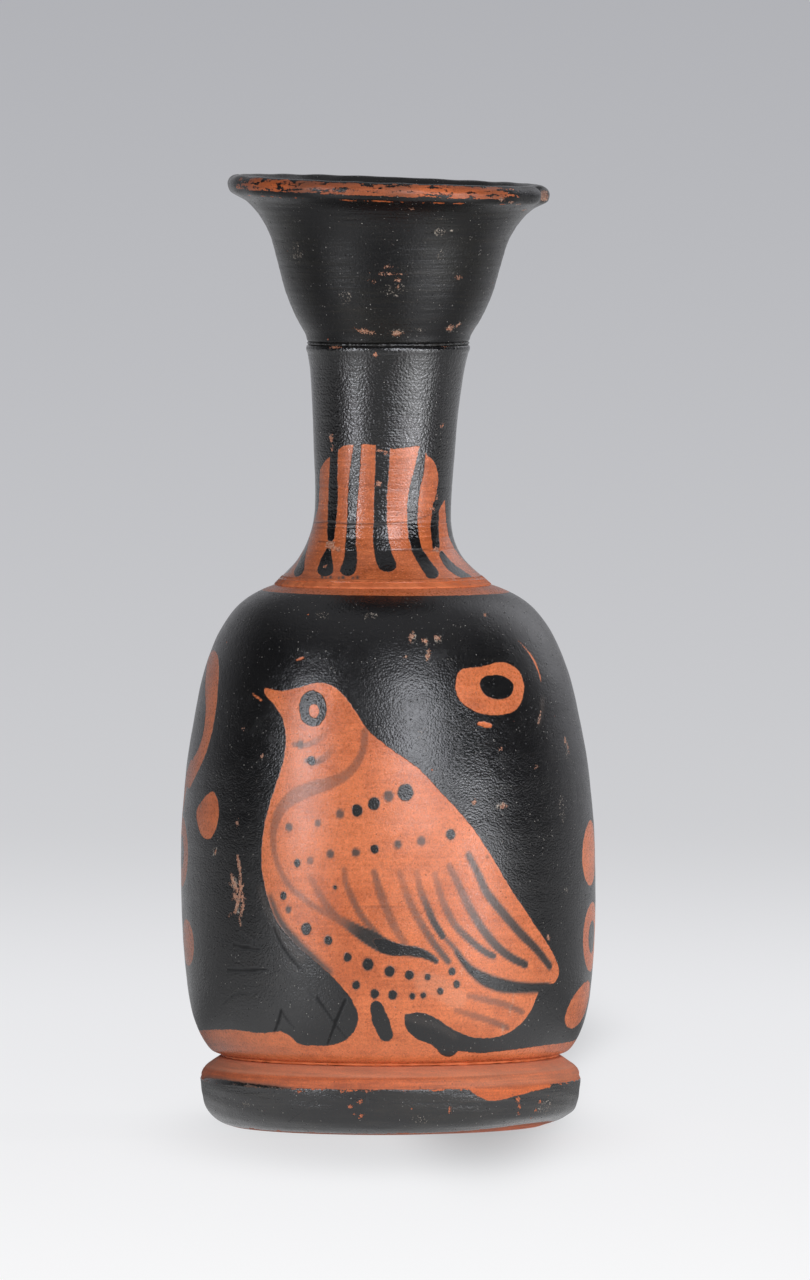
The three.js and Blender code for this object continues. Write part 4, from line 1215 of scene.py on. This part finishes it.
# the strap handle: an oval carried along two Bezier curves behind the neck, wider where it meets the pot
handle = dict(
    width=11.0,
    thickness=4.6,
    flare=0.22,
    flareLength=0.16,      # share of the length over which each end widens
    sink=1.0,              # how far the ends run into the walls
    top=106.5,
    rise=3.4,
    reach=24.2,
    bendHeight=95.5,
    bend=11.0,
    pull=(5.5, 2.5),       # how far the curves stand out from the neck and from the landing
    landing=21.2,
    landingHeight=77.4,
    power=0.82,            # of the section: 1 is an ellipse, less is squarer
    crease=0.10,           # the finger's hollow down the middle
    rings=150,
    sides=56,
)


def neckRadius(z):
    outline = np.array(raised(neck["outer"], neckBase))
    return np.interp(z, outline[:, 1], outline[:, 0])


# cubic Bezier curve through its first and last of four points
def bezier(points, t):
    a, b, c, d = [np.asarray(point, float) for point in points]
    t = t[:, None]
    return (1 - t) ** 3 * a + 3 * (1 - t) ** 2 * t * b + 3 * (1 - t) * t**2 * c + t**3 * d


# middle line of the strap in the upright plane behind the neck, as (y, z)
def handlePath():
    top, rise, reach, sink = [handle[name] for name in ("top", "rise", "reach", "sink")]
    face = neckRadius(top)
    neckPull, landingPull = handle["pull"]
    upper = [(face - sink, top), (face + neckPull, top + rise), (reach, top + rise),
             (reach, handle["bendHeight"])]
    lower = [(reach, handle["bendHeight"]), (reach, handle["bendHeight"] - handle["bend"]),
             (handle["landing"] + landingPull, handle["landingHeight"] + handle["bend"]),
             (handle["landing"], handle["landingHeight"] - sink)]
    t = np.linspace(0, 1, 200)
    line = np.vstack([bezier(upper, t), bezier(lower, t)[1:]])
    steps = np.concatenate([[0], np.cumsum(np.hypot(*np.diff(line, axis=0).T))])
    at = np.linspace(0, steps[-1], handle["rings"])
    return np.column_stack([np.interp(at, steps, line[:, 0]), np.interp(at, steps, line[:, 1])])


# half width and half thickness at each ring: both swell towards the ends by a bell curve
def handleWidths():
    share = np.linspace(0, 1, handle["rings"])
    length = handle["flareLength"]
    scale = 1 + handle["flare"] * (hump(share, length) + hump(1 - share, length))
    return np.column_stack([handle["width"] / 2 * scale, handle["thickness"] / 2 * scale])


# section of the strap at each ring: a rounded flat oval, a power curve of cosine and sine
def handleGrid():
    path, widths = handlePath(), handleWidths()
    direction = np.gradient(path, axis=0)
    direction /= np.hypot(*direction.T)[:, None]
    normal = np.column_stack([-direction[:, 1], direction[:, 0]])
    t = np.linspace(0, 2 * math.pi, handle["sides"], endpoint=False)
    flat = np.sign(np.cos(t)) * np.abs(np.cos(t)) ** handle["power"]
    thick = np.sign(np.sin(t)) * np.abs(np.sin(t)) ** handle["power"]
    x = widths[:, :1] * flat[None, :]
    offset = widths[:, 1:] * (thick * (1 - handle["crease"] * hump(np.cos(t), 0.25)))[None, :]
    y = path[:, :1] + normal[:, :1] * offset
    z = path[:, 1:] + normal[:, 1:] * offset
    return np.stack([x + lean(z), y, z], axis=-1)


def makeHandle():
    grid = handleGrid()
    ends = np.array([grid[-1].mean(axis=0), grid[0].mean(axis=0)])
    mesh = gridMesh("handle_pulled", grid[::-1], False, ends)
    count = len(mesh.vertices)
    setAttribute(mesh, "glaze", np.full(count, paintReach))
    setAttribute(mesh, "chip", np.full(count, -paintReach))
    edges = np.abs(np.cos(np.linspace(0, 2 * math.pi, handle["sides"], endpoint=False))) ** 6
    setAttribute(mesh, "wear", np.tile(0.20 * edges, handle["rings"]))
    addPiece("handle_pulled", mesh, "handle", paintedFinish("handle_gloss", neckLook))


makeFoot()
makeBody()
makeNeck()
makeMouth()
makeHandle()

# lutes: the slip that joins the pieces; each is a ring with its own small outline (radius, height)
lutes = dict(
    foot=[(16.6, 10.22), (24.6, 10.22), (24.95, 10.3), (25.0, 10.45), (24.95, 10.6), (24.6, 10.68),
          (16.6, 10.68)],
    neck=[(9.4, 80.45), (15.0, 80.3), (16.0, 79.9), (16.05, 80.12), (15.7, 80.42), (15.35, 80.75),
          (15.05, 81.1), (14.7, 81.4), (14.4, 81.3), (14.5, 80.9), (9.4, 80.85)],
    mouth=[(8.3, 115.55), (11.7, 115.45), (11.93, 115.6), (12.0, 115.76), (11.95, 115.92), (11.7, 116.06),
           (8.3, 115.95)],
)


def slipFinish(name, colour, rough):
    material, finish = newMaterial(name)
    place = finish.place()
    fine = finish.noise(place, 2.0, 4.0, 0.6)
    middle = finish.noise(place, 0.5, 3.0)
    shade = finish.blend(finish.step(middle, 0.40, 0.64), colour["deep"], colour["light"])
    shade = finish.blend(finish.grains(place, 1.0, 0.2, 0.25) * 0.7, shade, colour["pit"])
    height = (fine - 0.5) * 0.05 + (middle - 0.5) * 0.06
    finish.surface(shade, rough + (fine - 0.5) * 0.2, height)
    return material


blackSlip = dict(light=(0.02, 0.019, 0.018, 1), deep=(0.011, 0.011, 0.011, 1), pit=(0.16, 0.06, 0.03, 1))
claySlip = slipFinish("clay_slip", claySet, 0.55)
darkSlip = slipFinish("dark_slip", blackSlip, 0.45)
glossSlip = slipFinish("gloss_slip", blackSlip, 0.18)


# a ring of slip, a little uneven on its outside
def makeLute(name, outline, node, material):
    profile = np.array(outline)
    dense = evenly(np.vstack([profile, profile[:1]]), 0.35)[:-1]
    widest = profile[:, 0].max()

    def relief(a, r, z):
        outside = smoothStep(r, widest - 1.8, widest - 0.6)
        return outside * (0.05 * np.sin(17 * a) * np.sin(29 * a + 1) + 0.03 * np.sin(61 * a))

    mesh = gridMesh(name, turned(dense, columnAngles(90, 170, 130), relief), True)
    addPiece(name, mesh, node, material)


for part, slip in (("foot", claySlip), ("neck", claySlip), ("mouth", glossSlip)):
    makeLute(part + "_slip", lutes[part], part + "_lute", slip)

# slip smoothed round a root of the handle: a fillet between the strap and the wall, closed inside the clay
roots = dict(
    leaves=8,              # ring of the strap where the fillet leaves it
    closes=6,              # ring where it is closed inside the strap
    reach=0.3,             # how far it spreads on the wall, as a share of the strap's section
    rings=7,
    sink=0.05,             # mm that its edge lies under the wall's face
)


# quadratic Bezier curves from the strap, past the wall under it, out to the wall round the root
def rootFillet(end, toWall):
    grid = handleGrid() if end == "top" else handleGrid()[::-1]
    rise, root, close = grid[roots["leaves"]], grid[0], grid[roots["closes"]]
    middle = rise.mean(axis=0)
    wide = toWall(root + (rise - middle) * roots["reach"])
    t = np.linspace(0, 1, roots["rings"])[:, None, None]
    curve = (1 - t) ** 2 * (rise * 0.995 + middle * 0.005) + 2 * t * (1 - t) * toWall(rise) + t**2 * wide
    inner = np.stack([root * 0.6 + root.mean(axis=0) * 0.4, close * 0.8 + close.mean(axis=0) * 0.2])
    return np.concatenate([curve, inner])


def neckBack(points):
    x = points[:, 0] - lean(points[:, 2])
    y = np.sqrt(np.maximum(neckRadius(points[:, 2]) ** 2 - x**2, 1.0))
    return np.column_stack([points[:, 0], y - roots["sink"], points[:, 2]])


def shoulderTop(points):
    radius = np.hypot(points[:, 0] - lean(points[:, 2]), points[:, 1])
    upper = np.array(raised(body["outer"][-8:], bodyBase))[::-1]
    z = np.interp(radius, upper[:, 0], upper[:, 1])
    return np.column_stack([points[:, 0], points[:, 1], z - roots["sink"]])


def makeRoot(name, node, end, toWall):
    addPiece(name, gridMesh(name, rootFillet(end, toWall), True), node, darkSlip)


makeRoot("handle_neck_slip", "handle_neck_lute", "top", neckBack)
makeRoot("handle_shoulder_slip", "handle_shoulder_lute", "bottom", shoulderTop)

# the stage: one wide pale floor that falls off into grey with distance
stage = dict(
    radius=30.0,           # m
    centre=-0.4,
    base=0.505,            # brightness far off, what a slow fall adds near by, and what the table adds
    slow=0.475,
    slowReach=1.5,
    table=0.160,
    tableEdge=(0.65, 1.3),
    nearTint=(1.0, 1.0, 1.006, 1),
    farTint=(0.988, 1.0, 1.062, 1),
    paper=(0.80, 0.80, 0.80, 1),
    shadowShare=0.22,      # share of the paper's brightness that the lamps give, so that shadows fall on it
    # soft shadows behind and in front of the pot, in m; the first is narrower near the foot
    shadows=[dict(middle=(0.0135, 0.13), reach=(0.021, 0.21), narrow=0.4, deep=0.46),
             dict(middle=(0.0, -0.02), reach=(0.030, 0.085), narrow=0.0, deep=0.21)],
    # how bright the floor is in reflections: near the pot in front and behind, then further off in front
    # and behind
    mirror=(0.9, 0.2, 0.38, 0.80),
    mirrorEdge=(0.07, 0.22),
    # azimuth, strength near by, strength added further off and spread of the lamps' gleam on the table
    gleams=[(48, 3.5, 6.0, 0.7), (-49, 1.9, 2.4, 0.5)],
)


# for reflections only: the gleam of a lamp on the shiny table, a streak towards the lamp
def gleam(finish, place, azimuth, gain, farGain, width):
    turn = math.radians(azimuth)
    along = finish.dot(place, (math.sin(turn), -math.cos(turn), 0))
    beside = finish.dot(place, (math.cos(turn), math.sin(turn), 0))
    spread = finish.maths("ABSOLUTE", beside) / finish.most(along, 0.02)
    near = 0.3 * finish.step(along, 0.03, 0.08) + 0.7 * finish.step(along, 0.08, 0.32)
    return (1 - finish.step(spread, 0.0, width)) * (near * gain + farGain * finish.step(along, 0.45, 1.2))


# a disc of rings that grow with distance
def floorMesh():
    angles = np.linspace(0, 2 * math.pi, 96, endpoint=False)
    rings = np.concatenate([[0.05], np.geomspace(0.2, stage["radius"], 24)])
    x = rings[:, None] * np.cos(angles)
    y = rings[:, None] * np.sin(angles)
    points = np.stack([x, y, np.zeros_like(x)], axis=-1).reshape(-1, 3)
    i, j = np.meshgrid(np.arange(len(rings) - 1), np.arange(len(angles)), indexing="ij")
    i, j = i.ravel(), j.ravel()
    on = (j + 1) % len(angles)
    quads = np.column_stack([i, i + 1, i + 1, i]) * len(angles) + np.column_stack([j, j, on, on])
    mesh = bpy.data.meshes.new("floor")
    mesh.from_pydata(points.tolist(), [], quads.tolist() + [list(range(len(angles)))])
    return mesh


# paper that glows for the camera and in reflections, so that its fall into grey is the photograph's
def floorFinish():
    material, finish = newMaterial("pale_paper")
    place = finish.node("ShaderNodeTexCoord", output="Object")
    across, depth = [finish.node("ShaderNodeSeparateXYZ", None, {0: place}, axis) for axis in "XY"]
    seen = finish.ray("Is Camera Ray")
    glossy = finish.ray("Is Glossy Ray")
    offset = finish.node("ShaderNodeVectorMath", dict(operation="SUBTRACT"),
                         {0: place, 1: (0, stage["centre"], 0)})
    distance = finish.length(offset)
    slow = 1 / (1 + distance / stage["slowReach"])
    table = 1 - finish.step(distance, *stage["tableEdge"])
    level = stage["base"] + stage["slow"] * slow + stage["table"] * table

    nearFront, nearBehind, front, behind = stage["mirror"]
    near = nearFront + (nearBehind - nearFront) * finish.step(depth, -0.02, 0.05)
    far = front + (behind - front) * finish.step(depth, -0.1, 0.4)
    mirror = near + (far - near) * finish.step(finish.length(place), *stage["mirrorEdge"])
    level = level * (1 + (mirror - 1) * glossy)
    for values in stage["gleams"]:
        level = level + glossy * gleam(finish, place, *values)

    for shadow in stage["shadows"]:
        widen = 1 - shadow["narrow"] * (1 - finish.step(depth, 0.10, 0.25))
        side = (across - shadow["middle"][0]) / (widen * shadow["reach"][0])
        forth = (depth - shadow["middle"][1]) / shadow["reach"][1]
        off = side * side + forth * forth
        level = level * (1 - seen * shadow["deep"] * finish.maths("EXPONENT", 0 - off * off))
    tint = finish.blend(slow, stage["farTint"], stage["nearTint"])
    lit = finish.node("ShaderNodeBsdfDiffuse", None, {"Color": stage["paper"]})
    glow = finish.node("ShaderNodeEmission", None, {"Color": tint, "Strength": level})
    share = finish.most(seen, glossy) * (1 - stage["shadowShare"])
    mixed = finish.node("ShaderNodeMixShader", None, {0: share, 1: lit, 2: glow})
    finish.node("ShaderNodeOutputMaterial", None, {"Surface": mixed})
    return material


def makeFloor():
    floor = bpy.data.objects.new("floor", floorMesh())
    floor.data.materials.append(floorFinish())
    bpy.context.collection.objects.link(floor)


# lamps: azimuth from the camera's side, positive to the right, in degrees; height, distance and size in m
glossLamps = dict(         # these make the reflections
    left=dict(azimuth=-48.5, height=0.32, distance=1.2, size=(0.22, 0.56), power=4.2),
    right=dict(azimuth=50, height=0.11, distance=1.2, size=(0.26, 0.22), power=1.6),
    key=dict(azimuth=18.5, height=0.50, distance=1.25, size=(0.62, 0.60), power=6.9),
    keyFoot=dict(azimuth=23, height=0.10, distance=1.25, size=(0.50, 0.20), power=0.36),
)
mattLamps = dict(          # these light the clay and the floor
    front=dict(azimuth=3, height=0.16, distance=1.4, size=(0.5, 0.3), power=15.4),
    fill=dict(azimuth=0, height=1.15, distance=0.9, size=(1.0, 1.0), power=0.8),
    side=dict(azimuth=95, height=0.16, distance=1.0, size=(0.3, 0.3), power=3.8),
)
lampAim = 0.07             # m, the middle of the pot
glossTint = (0.965, 0.985, 1.05)
mattTint = (1.0, 1.0, 1.0)


# each lamp faces the middle of the pot
def makeLamp(name, lamp, gloss):
    azimuth = math.radians(lamp["azimuth"])
    data = bpy.data.lights.new(name, "AREA")
    data.shape = "RECTANGLE"
    data.size, data.size_y = lamp["size"]
    data.energy = lamp["power"]
    data.color = glossTint if gloss else mattTint
    obj = bpy.data.objects.new(name, data)
    away = lamp["distance"]
    obj.location = (away * math.sin(azimuth), -away * math.cos(azimuth), lamp["height"])
    pitch = math.atan2(lamp["height"] - lampAim, away)
    obj.rotation_euler = (math.pi / 2 - pitch, 0, azimuth)
    obj.visible_camera = False
    obj.visible_glossy = gloss
    obj.visible_diffuse = not gloss
    bpy.context.collection.objects.link(obj)


# the room: even light for matt surfaces; reflections find it dark, but pale behind and above, with one soft
# patch in front and one behind on the right
room = dict(
    dark=0.012,
    pale=0.45,
    paleSide=(0.06, 0.998, 0.0),
    paleFade=(0.2, 0.8),   # how far up, as a share, the pale side fades
    glow=0.85,
    glowSide=(0.60, 0.62, 0.50),
    glowCone=(0.88, 0.99),
    front=0.42,
    frontSide=(0.03, -0.985, 0.17),
    frontCone=(0.80, 0.97),
    above=0.34,
    aboveFade=(0.5, 0.95),
    ambient=0.09,
    cool=1.05,             # how much stronger its blue is
    camera=(0.47, 0.475, 0.505, 1),
)


def makeWorld():
    world = bpy.data.worlds.new("studio")
    world.use_nodes = True
    sky = Finish(world.node_tree)
    direction = sky.node("ShaderNodeTexCoord", output="Generated")
    up = sky.node("ShaderNodeSeparateXYZ", None, {0: direction}, "Z")
    pale = sky.step(sky.dot(direction, room["paleSide"]), -0.05, 1.05) * (1 - sky.step(up, *room["paleFade"]))
    front = sky.step(sky.dot(direction, room["frontSide"]), *room["frontCone"])
    glow = sky.step(sky.dot(direction, room["glowSide"]), *room["glowCone"])
    above = sky.step(up, *room["aboveFade"])
    level = room["dark"] + room["pale"] * pale + room["front"] * front
    level = level + room["glow"] * glow + room["above"] * above
    matt = sky.ray("Is Diffuse Ray")
    level = level + matt * (room["ambient"] - level)
    grey = sky.node("ShaderNodeCombineColor", None, {0: level, 1: level, 2: level * room["cool"]})
    colour = sky.blend(sky.ray("Is Camera Ray"), grey, room["camera"])
    background = sky.node("ShaderNodeBackground", None, {"Color": colour})
    sky.node("ShaderNodeOutputWorld", None, {"Surface": background})
    bpy.context.scene.world = world


makeFloor()
for lampName, lampValues in glossLamps.items():
    makeLamp(lampName, lampValues, True)
for lampName, lampValues in mattLamps.items():
    makeLamp(lampName, lampValues, False)
makeWorld()
print("stage and lamps set")
